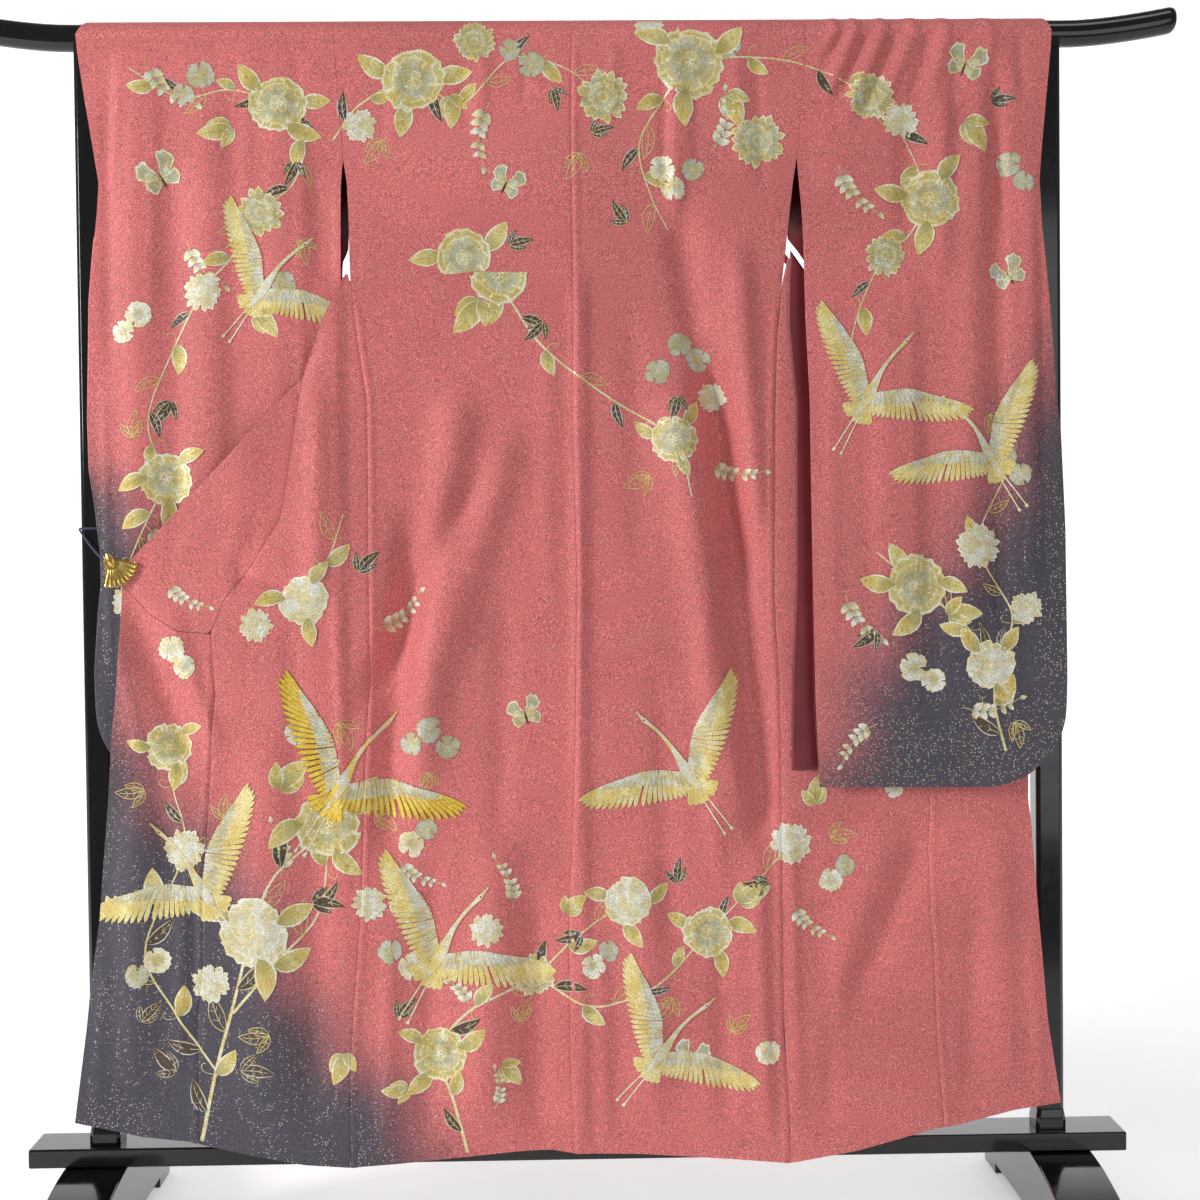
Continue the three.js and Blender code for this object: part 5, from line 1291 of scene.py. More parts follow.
upright_seam_shade_tape("centre_seam_shade_tape", CENTRE_SEAM, 128, BAR_HEIGHT)
upright_seam_shade_tape("side_seam_left_shade_tape", SIDE_LEFT, 116, SIDE_SEAM_Z - 4)
upright_seam_shade_tape("side_seam_right_shade_tape", SIDE_RIGHT, 112, SIDE_SEAM_Z - 4)
upright_seam_shade_tape("okumi_left_shade_tape", FRONT_LEFT_EDGE, 152, 852)
upright_seam_shade_tape("okumi_right_shade_tape", OKUMI_RIGHT_SEAM, 156, 1040)
upright_seam_shade_tape("armhole_left_shade_tape", SIDE_LEFT, ARMHOLE_Z + 2, BAR_HEIGHT, armhole_depth("sleeve_left"))
upright_seam_shade_tape("armhole_right_shade_tape", SIDE_RIGHT, ARMHOLE_Z + 2, BAR_HEIGHT, armhole_depth("sleeve_right"))
collar_seam_x = np.linspace(-600, -508, 24)
seam_shade_tape("collar_end_shade_tape", collar_seam_x, look_up(END_SEAM, collar_seam_x), body_depth)
print("tapes behind the seams: 8")

# %% [markdown]
# ## The design of flowers, vines and cranes
# The design is dyed, drawn in fine pale outlines and partly laid with gold and silver foil and thread.
# Each petal, leaf and feather is a small flat blade with a paler rim, laid a fraction of a millimetre
# over the silk. It is drawn in two dimensions first, then dropped on to the panel that it lies on.
# A shape that reaches a seam is squeezed against it, so it stops there as crisply as dyed silk does.

# %% Colours of the design, and the profile of each kind of blade
FOIL, OLIVE, SILVER, CREAM, BARK, THREAD, PEARL = np.array((
    (0.80, 0.66, 0.25), (0.47, 0.42, 0.16), (0.53, 0.52, 0.37), (0.95, 0.90, 0.68), (0.085, 0.055, 0.04),
    (0.95, 0.66, 0.09), (0.75, 0.73, 0.58)))
ACROSS = np.array((-1, -0.86, -0.78, -0.35, 0, 0.35, 0.78, 0.86, 1.0))
NARROW = np.array((-1, -0.85, -0.77, 0, 0.77, 0.85, 1.0))
ALONG = np.array((0, 0.14, 0.3, 0.48, 0.66, 0.8, 0.88, 0.93, 1.0))
PROFILES = {
    "fan": lambda t: 0.22 + 0.78 * t**0.9,
    "leaf": lambda t: np.sin(math.pi * np.clip(t, 0, 1) ** 0.85) ** 0.9,
    "feather": lambda t: (0.45 + 0.55 * t) * np.sqrt(np.maximum(1 - t**7, 0.01)),
    "drop": lambda t: np.sin(math.pi * t**0.7) ** 0.7,
}
VINE_LEVEL, LEAF_LEVEL, FLOWER_LEVEL, CRANE_LEVEL, LEVEL_STEP = 0.42, 0.50, 0.60, 0.90, 0.006


class Design:
    """A list of flat shapes, each a grid of x and z with a colour at every point."""

    def __init__(self):
        self.shapes = []
        self.level = LEAF_LEVEL

    def add(self, x, z, colours, shiny=False):
        self.shapes.append((x, z, np.broadcast_to(colours, (*x.shape, 3)), self.level, shiny))
        self.level += LEVEL_STEP

    def blade(self, place, turn, length, half, tones, profile="leaf", bend=0.0, frill=0.0,
              shiny=False, rim=True):
        """Grows from a place along an angle in degrees; tones are root, body and rim."""
        t, c = ALONG[:, None], (ACROSS if half > 9 else NARROW)[None, :]
        round_end = 0.22 if profile == "fan" else 0.0
        reach = length * t * (1 - round_end * c**2 * t) + frill * length * t**3 * np.sin(c * 9 + turn)
        width = half * PROFILES[profile](t)
        heading = math.radians(turn) + bend * reach / length
        x = place[0] + reach * np.cos(heading) - width * c * np.sin(heading)
        z = place[1] + reach * np.sin(heading) + width * c * np.cos(heading)
        root, body, edge_tone = tones
        colours = mix(root, body, smooth(t * 1.7 - 0.1)[..., None] + 0 * c[..., None])
        if rim:
            at_rim = np.maximum(smooth((np.abs(c) - 0.80) / 0.06),
                                smooth((t - 0.90) / 0.04) * (profile == "fan"))
            colours = mix(colours, edge_tone, at_rim[..., None])
        self.add(x, z, colours, shiny)

    def ribbon(self, path, half, colour, shiny=False):
        """A line of a given half width, which may be one for each point, through points."""
        path = np.asarray(path, float)
        along = np.gradient(path, axis=0)
        along /= np.maximum(np.linalg.norm(along, axis=1, keepdims=True), 1e-6)
        half = np.broadcast_to(half, len(path))[:, None]
        c = np.array((-1, 0, 1.0))[None, :]
        self.add(path[:, :1] - along[:, 1:] * half * c, path[:, 1:] + along[:, :1] * half * c, colour, shiny)

    def dot(self, x, z, radius, colour):
        turn = np.linspace(0, 2 * math.pi, 9)[:, None]
        reach = np.array((0.05, 1.0))[None, :] * radius
        self.add(x + reach * np.cos(turn), z + reach * np.sin(turn), colour)


def around(place, reach, turn):
    """The place a reach away, at a turn in radians."""
    return place[0] + reach * math.cos(turn), place[1] + reach * math.sin(turn)


def bent_line(place, length, t, heading):
    """Points at the shares t of a length from a place, each along its own heading."""
    reach = length * t
    return np.stack((place[0] + reach * np.cos(heading), place[1] + reach * np.sin(heading)), axis=1)


def curve_through(points, step=5.0):
    """A smooth line through points, with a point every few mm."""
    points = np.asarray(points, float)
    padded = np.concatenate((2 * points[:1] - points[1:2], points, 2 * points[-1:] - points[-2:-1]))
    line = []
    for p0, p1, p2, p3 in zip(padded, padded[1:], padded[2:], padded[3:]):
        count = max(2, int(np.linalg.norm(p2 - p1) / step))
        for t in np.arange(count) / count:
            line.append(0.5 * (2 * p1 + (p2 - p0) * t + (2 * p0 - 5 * p1 + 4 * p2 - p3) * t**2
                               + (3 * p1 - p0 - 3 * p2 + p3) * t**3))
    return np.array(line + [points[-1]])


# %% Leaves, sprigs and vines
def leaf(design, place, turn, length, kind, bend=0.4):
    """kind: gold with a vein, dark with pale veins, or an outline only."""
    design.level = max(design.level, LEAF_LEVEL)
    half = length * (0.27 if kind == "gold" else 0.19)
    if kind == "gold":
        design.blade(place, turn, length, half, (OLIVE, FOIL, CREAM), bend=bend)
    elif kind == "dark":
        design.blade(place, turn, length, half, (BARK, BARK * 1.3, CREAM * 0.8), bend=bend)
    t = np.linspace(0, 1, 14)
    heading = math.radians(turn) + bend * t
    mid = bent_line(place, length, t, heading)
    if kind == "outline":
        width = half * PROFILES["leaf"](t)
        side = np.stack((-np.sin(heading), np.cos(heading)), axis=1) * width[:, None]
        for sign in (-1, 1):
            design.ribbon(mid + sign * side, 0.55, FOIL)
    vein_tone = {"gold": OLIVE, "dark": CREAM * 0.75, "outline": FOIL}[kind]
    design.ribbon(mid[:12], 0.45, vein_tone)
    for k in (4, 7):
        for sign in (-1, 1):
            turned = heading[k] + sign * 0.75
            end = mid[k] + half * 0.8 * np.array((math.cos(turned), math.sin(turned)))
            design.ribbon([mid[k], end], 0.35, vein_tone)


def leaf_spray(design, place, turn, size, kind, count=3):
    design.level = LEAF_LEVEL
    for k in range(count):
        spread = (k - (count - 1) / 2) * 52
        leaf(design, place, turn + spread, size * (1 - 0.006 * abs(spread)), kind,
             bend=0.3 if spread < 0 else -0.3)


def sprig(design, place, turn, length, pairs=5, tone=CREAM):
    """A hanging sprig with a pair of small drops at each step."""
    design.level = LEAF_LEVEL
    t = np.linspace(0, 1, 16)
    heading = math.radians(turn) + 0.5 * t
    stem = bent_line(place, length, t, heading)
    design.ribbon(stem, 0.5, FOIL)
    for k in range(pairs):
        at = int(3 + 12 * k / pairs)
        size = length * (0.20 - 0.018 * k)
        for sign in (-1, 1):
            degrees = math.degrees(heading[at]) + sign * 52
            design.blade(stem[at], degrees, size, size * 0.33, (SILVER, tone, PEARL), "drop")
    design.blade(stem[-1], math.degrees(heading[-1]), length * 0.13, length * 0.04, (SILVER, tone, PEARL),
                 "drop")


def vine(design, points, seed, half=1.3, leaves=6, size=40, kinds=("dark", "gold", "outline")):
    """A stem through points with leaves on both sides and a few curls."""
    rng = np.random.default_rng(seed)
    line = curve_through(points)
    design.level = VINE_LEVEL
    design.ribbon(line, np.linspace(half, half * 0.55, len(line)), mix(FOIL, CREAM, 0.45))
    for k in range(leaves):
        at = int((k + 0.7) / (leaves + 0.6) * (len(line) - 2))
        along = line[at + 1] - line[at]
        degrees = math.degrees(math.atan2(along[1], along[0])) + (-1) ** k * rng.uniform(38, 62)
        leaf(design, line[at], degrees, size * rng.uniform(1.0, 1.5), kinds[k % len(kinds)],
             (-1) ** k * -0.35)
        if k % 3 == 1:
            curl(design, line[at], degrees + 150, size * 0.8, (-1) ** k)


def curl(design, place, turn, size, way):
    t = np.linspace(0, 1, 18)
    heading = math.radians(turn) + way * 4.6 * t**1.6
    step = size * (1.15 - t) / 11
    path = np.cumsum(np.stack((np.cos(heading) * step, np.sin(heading) * step), axis=1), axis=0) + place
    design.level = VINE_LEVEL
    design.ribbon(path, 0.45, FOIL)


# %% Flowers
PEONY_TONES = ((OLIVE, mix(OLIVE, FOIL, 0.6), mix(FOIL, CREAM, 0.8)),
               (OLIVE, mix(SILVER, FOIL, 0.45), mix(FOIL, CREAM, 0.45)),
               (FOIL, mix(SILVER, OLIVE, 0.4), SILVER * 1.1))
PALE_TONES = ((SILVER, mix(PEARL, FOIL, 0.3), CREAM), (FOIL, PEARL, mix(PEARL, CREAM, 0.6)),
              (FOIL, mix(CREAM, PEARL, 0.5), PEARL))


def ring_of_petals(design, place, radius, count, half, tones, rng, frill, profile="fan"):
    start = rng.uniform(0, 360)
    for k in range(count):
        degrees = start + 360 * k / count + rng.uniform(-5, 5)
        length, width = radius * rng.uniform(0.90, 1.08), half * rng.uniform(0.9, 1.1)
        design.blade(place, degrees, length, width, tones, profile, bend=rng.uniform(-0.15, 0.15),
                     frill=frill)


def peony(design, place, radius, seed, pale=False):
    rng = np.random.default_rng(seed)
    for k in range(3):
        degrees = rng.uniform(0, 60) + 120 * k
        start = around(place, 0.75 * radius, math.radians(degrees))
        leaf(design, start, degrees + rng.uniform(-25, 25), radius * rng.uniform(0.95, 1.30), "gold",
             rng.uniform(-0.5, 0.5))
    design.level = FLOWER_LEVEL
    tones = PALE_TONES if pale else PEONY_TONES
    for share, count, kind in ((1.0, 7, 0), (0.78, 6, 1), (0.54, 5, 2), (0.30, 4, 1)):
        ring_of_petals(design, place, radius * share, count, radius * share * 0.56, tones[kind], rng, 0.05)
    for k in range(9):
        design.dot(*around(place, radius * 0.045 * math.sqrt(k), k * 2.4), radius * 0.035, CREAM)


def chrysanthemum(design, place, radius, seed, pale=False):
    rng = np.random.default_rng(seed)
    design.level = FLOWER_LEVEL
    tones = PALE_TONES if pale else PEONY_TONES
    for share, count, kind in ((1.0, 20, 0), (0.80, 18, 2), (0.60, 15, 1), (0.40, 12, 2), (0.22, 8, 1)):
        half = radius * share * 0.165 * 20 / count * 0.95
        ring_of_petals(design, place, radius * share, count, half, tones[kind], rng, 0.02)


def blossom(design, place, radius, seed, tone=CREAM):
    rng = np.random.default_rng(seed)
    design.level = FLOWER_LEVEL
    tones = (SILVER, mix(tone, PEARL, 0.35), tone)
    ring_of_petals(design, place, radius, 5, radius * 0.52, tones, rng, 0.07)
    design.dot(*place, radius * 0.16, FOIL)
    for k in range(5):
        turn = rng.uniform(0, 0.6) + 2 * math.pi * k / 5
        design.ribbon([place, around(place, radius * 0.45, turn)], 0.4, FOIL)


# %% Butterflies and cranes
def butterfly(design, place, size, turn):
    design.level = FLOWER_LEVEL
    wings = ((40, 1.0, 0.33), (142, 0.92, 0.33), (-24, 0.62, 0.28), (204, 0.58, 0.28))
    for spread, length, half in wings:
        design.blade(place, turn + spread, size * length, size * half, (OLIVE, SILVER, CREAM), "fan",
                     bend=0.3 if spread < 90 else -0.3, frill=0.05)
        design.blade(place, turn + spread, size * length * 0.62, size * half * 0.5, (FOIL, PEARL, FOIL),
                     "fan")
    heading = np.array((math.cos(math.radians(turn + 90)), math.sin(math.radians(turn + 90))))
    design.ribbon([np.array(place) - heading * size * 0.3, place, np.array(place) + heading * size * 0.2],
                  (0.6, 1.8, 0.8), BARK)
    for sign in (-1, 1):
        curl(design, np.array(place) + heading * size * 0.2, turn + 90 + sign * 22, size * 0.7, sign)


NECK = ((1.02, 0.10, 0.004), (0.93, 0.085, 0.010), (0.87, 0.075, 0.021), (0.80, 0.055, 0.016),
        (0.62, 0.01, 0.014), (0.42, -0.015, 0.018), (0.24, -0.01, 0.036), (0.08, 0.0, 0.058),
        (-0.08, 0.0, 0.052), (-0.22, -0.005, 0.022), (-0.30, -0.01, 0.006))
# Each wing: the arm's joint, elbow and tip, then the turn of its first and last feather.
WINGS = (((0.08, 0.04), (0.34, 0.40), (0.46, 0.84), 168, 76),
         ((0.10, -0.04), (0.42, -0.34), (0.62, -0.74), 194, 286))
FEATHERS, COVERTS = 22, 17


class Crane:
    """A flying crane drawn about its own shoulder, then turned, scaled and set down."""

    def __init__(self, design, place, size, turn, shiny=False, flip=1):
        self.design, self.place, self.size = design, place, size
        self.turn, self.shiny, self.flip = turn, shiny, flip

    def at(self, points):
        points = np.asarray(points, float) * self.size
        a, b = points[..., 0], points[..., 1] * self.flip
        heading = math.radians(self.turn)
        return np.stack((self.place[0] + a * math.cos(heading) - b * math.sin(heading),
                         self.place[1] + a * math.sin(heading) + b * math.cos(heading)), axis=-1)

    def feather(self, root, degrees, length, half, tones):
        self.design.blade(self.at(root), self.turn + self.flip * degrees, length * self.size,
                          half * self.size, tones, "feather", bend=0.10 * self.flip, shiny=self.shiny)

    def draw(self):
        bright = THREAD if self.shiny else FOIL * 1.1
        rim = mix(THREAD, BARK, 0.8) if self.shiny else mix(FOIL, CREAM, 0.7)
        tones = (mix(bright, PEARL, 0.4), bright, rim)
        self.design.level = CRANE_LEVEL
        for side in (-0.025, 0.025):
            legs = self.at([(-0.2, side), (-0.45, side * 1.4), (-0.78, side * 2.2)])
            self.design.ribbon(curve_through(legs), 0.9, CREAM)
            for toe in (-14, 0, 14):
                self.design.blade(legs[-1], self.turn + self.flip * (180 + toe), self.size * 0.07, 1.2,
                                  (CREAM,) * 3, rim=False)
        for k, degrees in enumerate((136, 224, 150, 210, 164, 196, 180)):
            self.feather((-0.08, 0.012 * (-1) ** k), degrees, 0.30, 0.052, tones)
        for joint, elbow, tip, first, last in WINGS:
            arm = curve_through([joint, elbow, tip], step=0.02)
            for k in range(FEATHERS):
                s = k / (FEATHERS - 1)
                length = 0.30 + 0.30 * s - 1.2 * max(0, s - 0.88)
                self.feather(arm[int(s * (len(arm) - 1))], mix(first, last, s**1.1), length, 0.034, tones)
            for k in range(COVERTS):
                s = (k + 0.3) / COVERTS
                self.feather(arm[int(s * (len(arm) - 1))], mix(first, last, s), 0.20, 0.034,
                             (PEARL, SILVER * 1.15, CREAM))
        rows = np.array(NECK)
        line = curve_through(self.at(rows[:, :2]), step=4)
        share = np.linspace(0, 1, len(line))
        places = np.concatenate(([0], np.cumsum(np.linalg.norm(np.diff(rows[:, :2], axis=0), axis=1))))
        half = run_through(places / places[-1], rows[:, 2], share) * self.size
        self.design.ribbon(line, half + 0.8, bright)
        self.design.ribbon(line, half, PEARL * 1.05)
        self.design.dot(*self.at((0.875, 0.082)), 1.4, BARK)


# %% Dropping the design on a panel
def shell_tree(piece):
    """The shell's faces, for finding the silk's surface under a place."""
    points = np.empty(len(piece.data.vertices) * 3)
    piece.data.vertices.foreach_get("co", points)
    return BVHTree.FromPolygons(points.reshape(-1, 3).tolist(),
                                [tuple(p.vertices) for p in piece.data.polygons])


EDGE_MARGIN = 0.35


def lay_design(name, design, piece, left, right, low, high, from_behind=False):
    """Cuts every shape at the panel's edges, and sets it on the panel's outer face."""
    tree = shell_tree(piece)
    direction = Vector((0, -1, 0)) if from_behind else Vector((0, 1, 0))
    start = 0.5 if from_behind else -0.5
    points, colours, faces, finish = [], [], [], []
    count = 0
    for x, z, tones, level, shiny in design.shapes:
        held_z = np.clip(z, low(x) + EDGE_MARGIN, high(x) - EDGE_MARGIN)
        held_x = np.clip(x, left(held_z) + EDGE_MARGIN, right(held_z) - EDGE_MARGIN)
        moved = (held_x != x) | (held_z != z)
        if moved.all():
            continue
        spots = []
        for px, pz in zip((held_x * MM).ravel(), (held_z * MM).ravel()):
            hit, normal, _, _ = tree.ray_cast(Vector((px, start, pz)), direction)
            if hit is None:
                spots.append((np.nan,) * 3)
                continue
            if normal.dot(direction) > 0:
                normal = -normal
            spots.append(tuple((hit + normal * level * MM) / MM))
        spots = np.array(spots)
        missing = np.isnan(spots[:, 0])
        quads = grid_faces(*x.shape)
        good = ~(moved.ravel()[quads].all(axis=1) | missing[quads].any(axis=1))
        if not good.any():
            continue
        spots[missing] = spots[~missing][0]
        points.append(spots)
        colours.append(tones.reshape(-1, 3))
        faces.append(quads[good] + count)
        finish.append(np.full(good.sum(), int(shiny)))
        count += len(spots)
    if not points:
        return
    mark = new_mesh(name, np.concatenate(points), np.concatenate(faces), (FOIL_FINISH, THREAD_FINISH),
                    np.concatenate(finish))
    paint(mark, "paint", np.concatenate(colours))
    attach(mark, "root")
    print(f"{name}: {len(design.shapes)} shapes, {sum(len(f) for f in faces)} faces")


def make_design_finish(name, metallic, roughness, bump):
    material, surface = new_finish(name)
    tone = add_node(material, "ShaderNodeAttribute", attribute_name="paint").outputs["Color"]
    fine = grain(material, GRAINS_PER_METRE, detail=2.5, roughness=0.65)
    patches = ramp(material, grain(material, 55, detail=2),
                   ((0.42, (0.92, 0.86, 0.66)), (0.58, (1.02, 1.06, 1.18))))
    tone = blend_colours(material, "MULTIPLY", 1.0, tone, patches)
    shade = ramp(material, fine, ((0.30, 0.56), (0.5, 0.92), (0.70, 1.35)))
    join(material, (blend_colours(material, "MULTIPLY", 1.0, tone, shade), surface.inputs["Base Color"]))
    set_surface(surface, Metallic=metallic, Roughness=roughness)
    raise_surface(material, surface, fine, bump, 0.0005)
    return material


FOIL_FINISH = make_design_finish("foil_and_dye", 0.12, 0.50, 0.5)
THREAD_FINISH = make_design_finish("gold_thread", 0.20, 0.36, 0.7)

# %% [markdown]
# ## Where the motifs go
# A furisode's design climbs from the hem and gathers again on the shoulders and the sleeves, and runs
# on across the seams. Each row names a motif, its place across and up, its size and its turn. A crane's
# row ends with 1 or -1, and -1 mirrors it.

# %% Motifs by name
def draw_row(design, seed, kind, x, z, size, turn=0, flip=1):
    place = (x, z)
    if kind in ("peony", "pale_peony"):
        peony(design, place, size, seed, kind == "pale_peony")
    elif kind in ("mum", "pale_mum"):
        chrysanthemum(design, place, size, seed, kind == "pale_mum")
    elif kind in ("blossom", "grey_blossom"):
        blossom(design, place, size, seed, CREAM if kind == "blossom" else SILVER)
    elif kind == "sprig":
        sprig(design, place, turn, size * 1.5)
    elif kind == "butterfly":
        butterfly(design, place, size, turn)
    elif kind.startswith("spray"):
        leaf_spray(design, place, turn, size * 1.35, kind.split("_")[1])
    else:
        Crane(design, place, size, turn, kind == "thread_crane", flip).draw()


def draw_all(rows, vines, seed):
    design = Design()
    for k, (points, *facts) in enumerate(vines):
        vine(design, points, seed + k, *facts)
    for k, row in enumerate(rows):
        draw_row(design, seed + 50 + k, *row)
    return design


# %% The shoulders: rows of motif, x, z, size, turn
SHOULDER_ROWS = (
    ("peony", -218, 1622, 43), ("mum", -132, 1676, 30), ("grey_blossom", -52, 1644, 19),
    ("grey_blossom", -82, 1664, 16),
    ("mum", 46, 1598, 37), ("peony", 168, 1646, 50), ("pale_mum", 112, 1694, 22), ("mum", 262, 1536, 38),
    ("grey_blossom", 222, 1668, 18), ("butterfly", -92, 1474, 34, -25), ("blossom", 128, 1498, 19),
    ("blossom", 142, 1470, 17), ("grey_blossom", 170, 1496, 17), ("sprig", -110, 1592, 60, -125),
    ("sprig", 196, 1520, 58, 48), ("spray_dark", 78, 1424, 27, 140), ("spray_gold", 218, 1600, 38, -50),
    ("spray_gold", -168, 1600, 34, -70), ("spray_outline", 12, 1520, 30, -100),
    ("spray_dark", 30, 1548, 24, 30),
    ("pale_mum", -292, 1560, 24), ("spray_outline", -262, 1540, 30, -110),
    ("spray_dark", -24, 1610, 24, -60),
    ("peony", -404, 1590, 40), ("mum", -432, 1440, 34), ("butterfly", -566, 1486, 42, 30),
    ("sprig", -588, 1652, 62, -70),
    ("spray_gold", -470, 1560, 36, -150), ("grey_blossom", -512, 1630, 20), ("grey_blossom", -536, 1604, 16),
    ("spray_dark", -380, 1510, 28, -100), ("mum", 420, 1596, 34), ("pale_mum", 462, 1562, 26),
    ("peony", 500, 1450, 40),
    ("butterfly", 552, 1636, 40, -20), ("sprig", 374, 1500, 58, -80), ("spray_gold", 552, 1560, 38, -40),
    ("spray_dark", 590, 1590, 26, 20), ("grey_blossom", 612, 1500, 18), ("grey_blossom", 632, 1474, 15),
)
SHOULDER_VINES = (
    (((-330, 1540), (-290, 1590), (-218, 1622), (-150, 1590), (-82, 1652), (-10, 1640), (46, 1598)),
     1.4, 9, 32),
    (((168, 1646), (128, 1590), (96, 1530), (112, 1460), (136, 1412)), 1.5, 6, 32),
    (((168, 1646), (250, 1652), (330, 1640), (420, 1596), (470, 1530), (500, 1450)), 1.4, 8, 32),
    (((-404, 1590), (-370, 1540), (-384, 1480), (-432, 1440), (-480, 1390)), 1.4, 6, 30),
    (((-404, 1590), (-470, 1610), (-540, 1600), (-610, 1640)), 1.2, 5, 28),
)

# %% The body below the waist
BODY_ROWS = (
    ("peony", 140, 1120, 33), ("grey_blossom", 176, 1232, 18), ("grey_blossom", 150, 1252, 17),
    ("grey_blossom", 120, 1216, 18), ("spray_dark", 146, 1180, 26, -90), ("pale_mum", 196, 1180, 21),
    ("sprig", 190, 1090, 52, -40), ("spray_outline", 106, 1070, 30, -140),
    ("thread_crane", -330, 640, 128, 58, -1), ("crane", -520, 500, 116, 122, 1),
    ("crane", -196, 400, 120, 60, -1),
    ("crane", 158, 650, 114, 124, 1), ("crane", 112, 262, 106, 50, -1),
    ("pale_peony", -376, 902, 34), ("pale_mum", -442, 868, 24), ("blossom", -560, 836, 19),
    ("blossom", -542, 812, 17),
    ("peony", -346, 590, 46), ("pale_peony", -452, 442, 48), ("pale_mum", -546, 556, 30),
    ("blossom", -584, 404, 20),
    ("grey_blossom", -612, 384, 17), ("peony", -566, 700, 32), ("sprig", -610, 470, 58, 150),
    ("sprig", -412, 520, 50, 70),
    ("pale_mum", -510, 372, 28), ("spray_gold", -412, 640, 42, 60), ("spray_gold", -300, 624, 40, 20),
    ("spray_dark", -370, 480, 34, 10), ("spray_gold", -330, 270, 34, -90), ("spray_dark", -470, 250, 36, 10),
    ("spray_dark", -560, 250, 34, 150), ("peony", -196, 268, 38), ("sprig", -150, 330, 48, 110),
    ("blossom", -232, 388, 20),
    ("grey_blossom", -262, 412, 17), ("mum", -62, 372, 30), ("spray_gold", -110, 250, 30, -30),
    ("pale_mum", -128, 440, 24), ("sprig", -92, 470, 48, 80), ("butterfly", -70, 734, 34, 15),
    ("pale_peony", 70, 476, 34),
    ("butterfly", 152, 250, 36, -20), ("blossom", -232, 560, 18), ("grey_blossom", -210, 580, 16),
    ("sprig", -250, 540, 46, -60), ("peony", 182, 430, 36), ("spray_gold", 226, 470, 34, 50),
    ("pale_mum", 300, 552, 30),
    ("spray_outline", 130, 340, 30, -110), ("spray_dark", 4, 430, 28, -150), ("blossom", 262, 262, 18),
    ("sprig", 300, 470, 48, -70), ("spray_outline", 356, 560, 28, 20), ("butterfly", -236, 470, 30, 40),
    ("sprig", -280, 860, 54, 10), ("spray_dark", -300, 940, 30, 60), ("spray_outline", -330, 730, 32, -50),
    ("spray_outline", 350, 640, 28, 40), ("blossom", 446, 628, 14), ("spray_dark", 266, 500, 26, 200),
    ("spray_outline", -430, 300, 32, 200), ("spray_gold", -240, 220, 28, 200),
    ("spray_dark", -252, 320, 26, 60),
    ("pale_mum", -290, 478, 25), ("spray_outline", -282, 600, 28, -20), ("sprig", -120, 190, 38, 60),
    ("spray_outline", -84, 310, 26, 80), ("spray_gold", -16, 460, 28, 60), ("blossom", 20, 386, 17),
    ("grey_blossom", 42, 408, 15), ("spray_outline", 214, 290, 26, 60), ("spray_dark", 140, 500, 26, 100),
    ("spray_gold", 336, 606, 32, 100), ("blossom", 356, 500, 17), ("grey_blossom", 376, 520, 15),
    ("spray_outline", -490, 600, 26, 100), ("spray_dark", -606, 320, 28, 60), ("blossom", -388, 716, 17),
    ("spray_outline", -600, 640, 30, 200), ("grey_blossom", -205, 720, 18), ("grey_blossom", -230, 700, 16),
    ("grey_blossom", -180, 694, 17), ("spray_outline", -206, 660, 24, -90), ("sprig", -566, 930, 46, -60),
)
BODY_VINES = (
    (((-526, 152), (-505, 250), (-480, 340), (-452, 442), (-420, 520), (-346, 590), (-330, 680)),
     2.6, 9, 40),
    (((-480, 330), (-420, 400), (-360, 470), (-346, 590)), 2.0, 5, 38),
    (((-505, 250), (-560, 330), (-600, 420), (-546, 556), (-560, 640), (-566, 700)), 1.6, 8, 36),
    (((-158, 128), (-176, 200), (-196, 268), (-150, 330), (-62, 372), (0, 430), (70, 476)), 2.2, 9, 34),
    (((-62, 372), (20, 330), (110, 360), (182, 430), (250, 500), (300, 552)), 1.6, 9, 32),
    (((-92, 1326), (-40, 1250), (50, 1180), (140, 1120), (164, 1040)), 1.8, 6, 30),
    (((-376, 902), (-340, 960), (-320, 1020)), 1.3, 3, 30),
)
TUCK_ABOVE = (("peony", -150, 1376, 40), ("spray_dark", -86, 1392, 26, 30))
TUCK_BELOW = (("peony", -100, 1352, 40), ("spray_gold", -130, 1318, 44, -110),
              ("spray_dark", -40, 1286, 28, -120))

# %% The lower sleeves
LEFT_ROWS = (
    ("pale_mum", -512, 1330, 28), ("crane", -430, 1330, 100, 52, -1), ("peony", -566, 1072, 36),
    ("sprig", -532, 1402, 54, -80),
    ("sprig", -596, 1010, 54, -60), ("blossom", -600, 1300, 19), ("blossom", -622, 1276, 16),
    ("spray_dark", -560, 1180, 30, -110),
    ("spray_gold", -440, 1300, 34, -30), ("grey_blossom", -400, 1340, 18),
    ("spray_outline", -610, 1130, 28, 100),
    ("spray_outline", -376, 1400, 26, -60), ("pale_mum", -620, 900, 26), ("spray_dark", -600, 850, 28, -60),
)
LEFT_VINES = (
    (((-432, 1440), (-470, 1380), (-512, 1330), (-560, 1240), (-590, 1150), (-566, 1072)), 1.5, 8, 32),
    (((-566, 1072), (-600, 1000), (-630, 930)), 1.4, 4, 30),
)
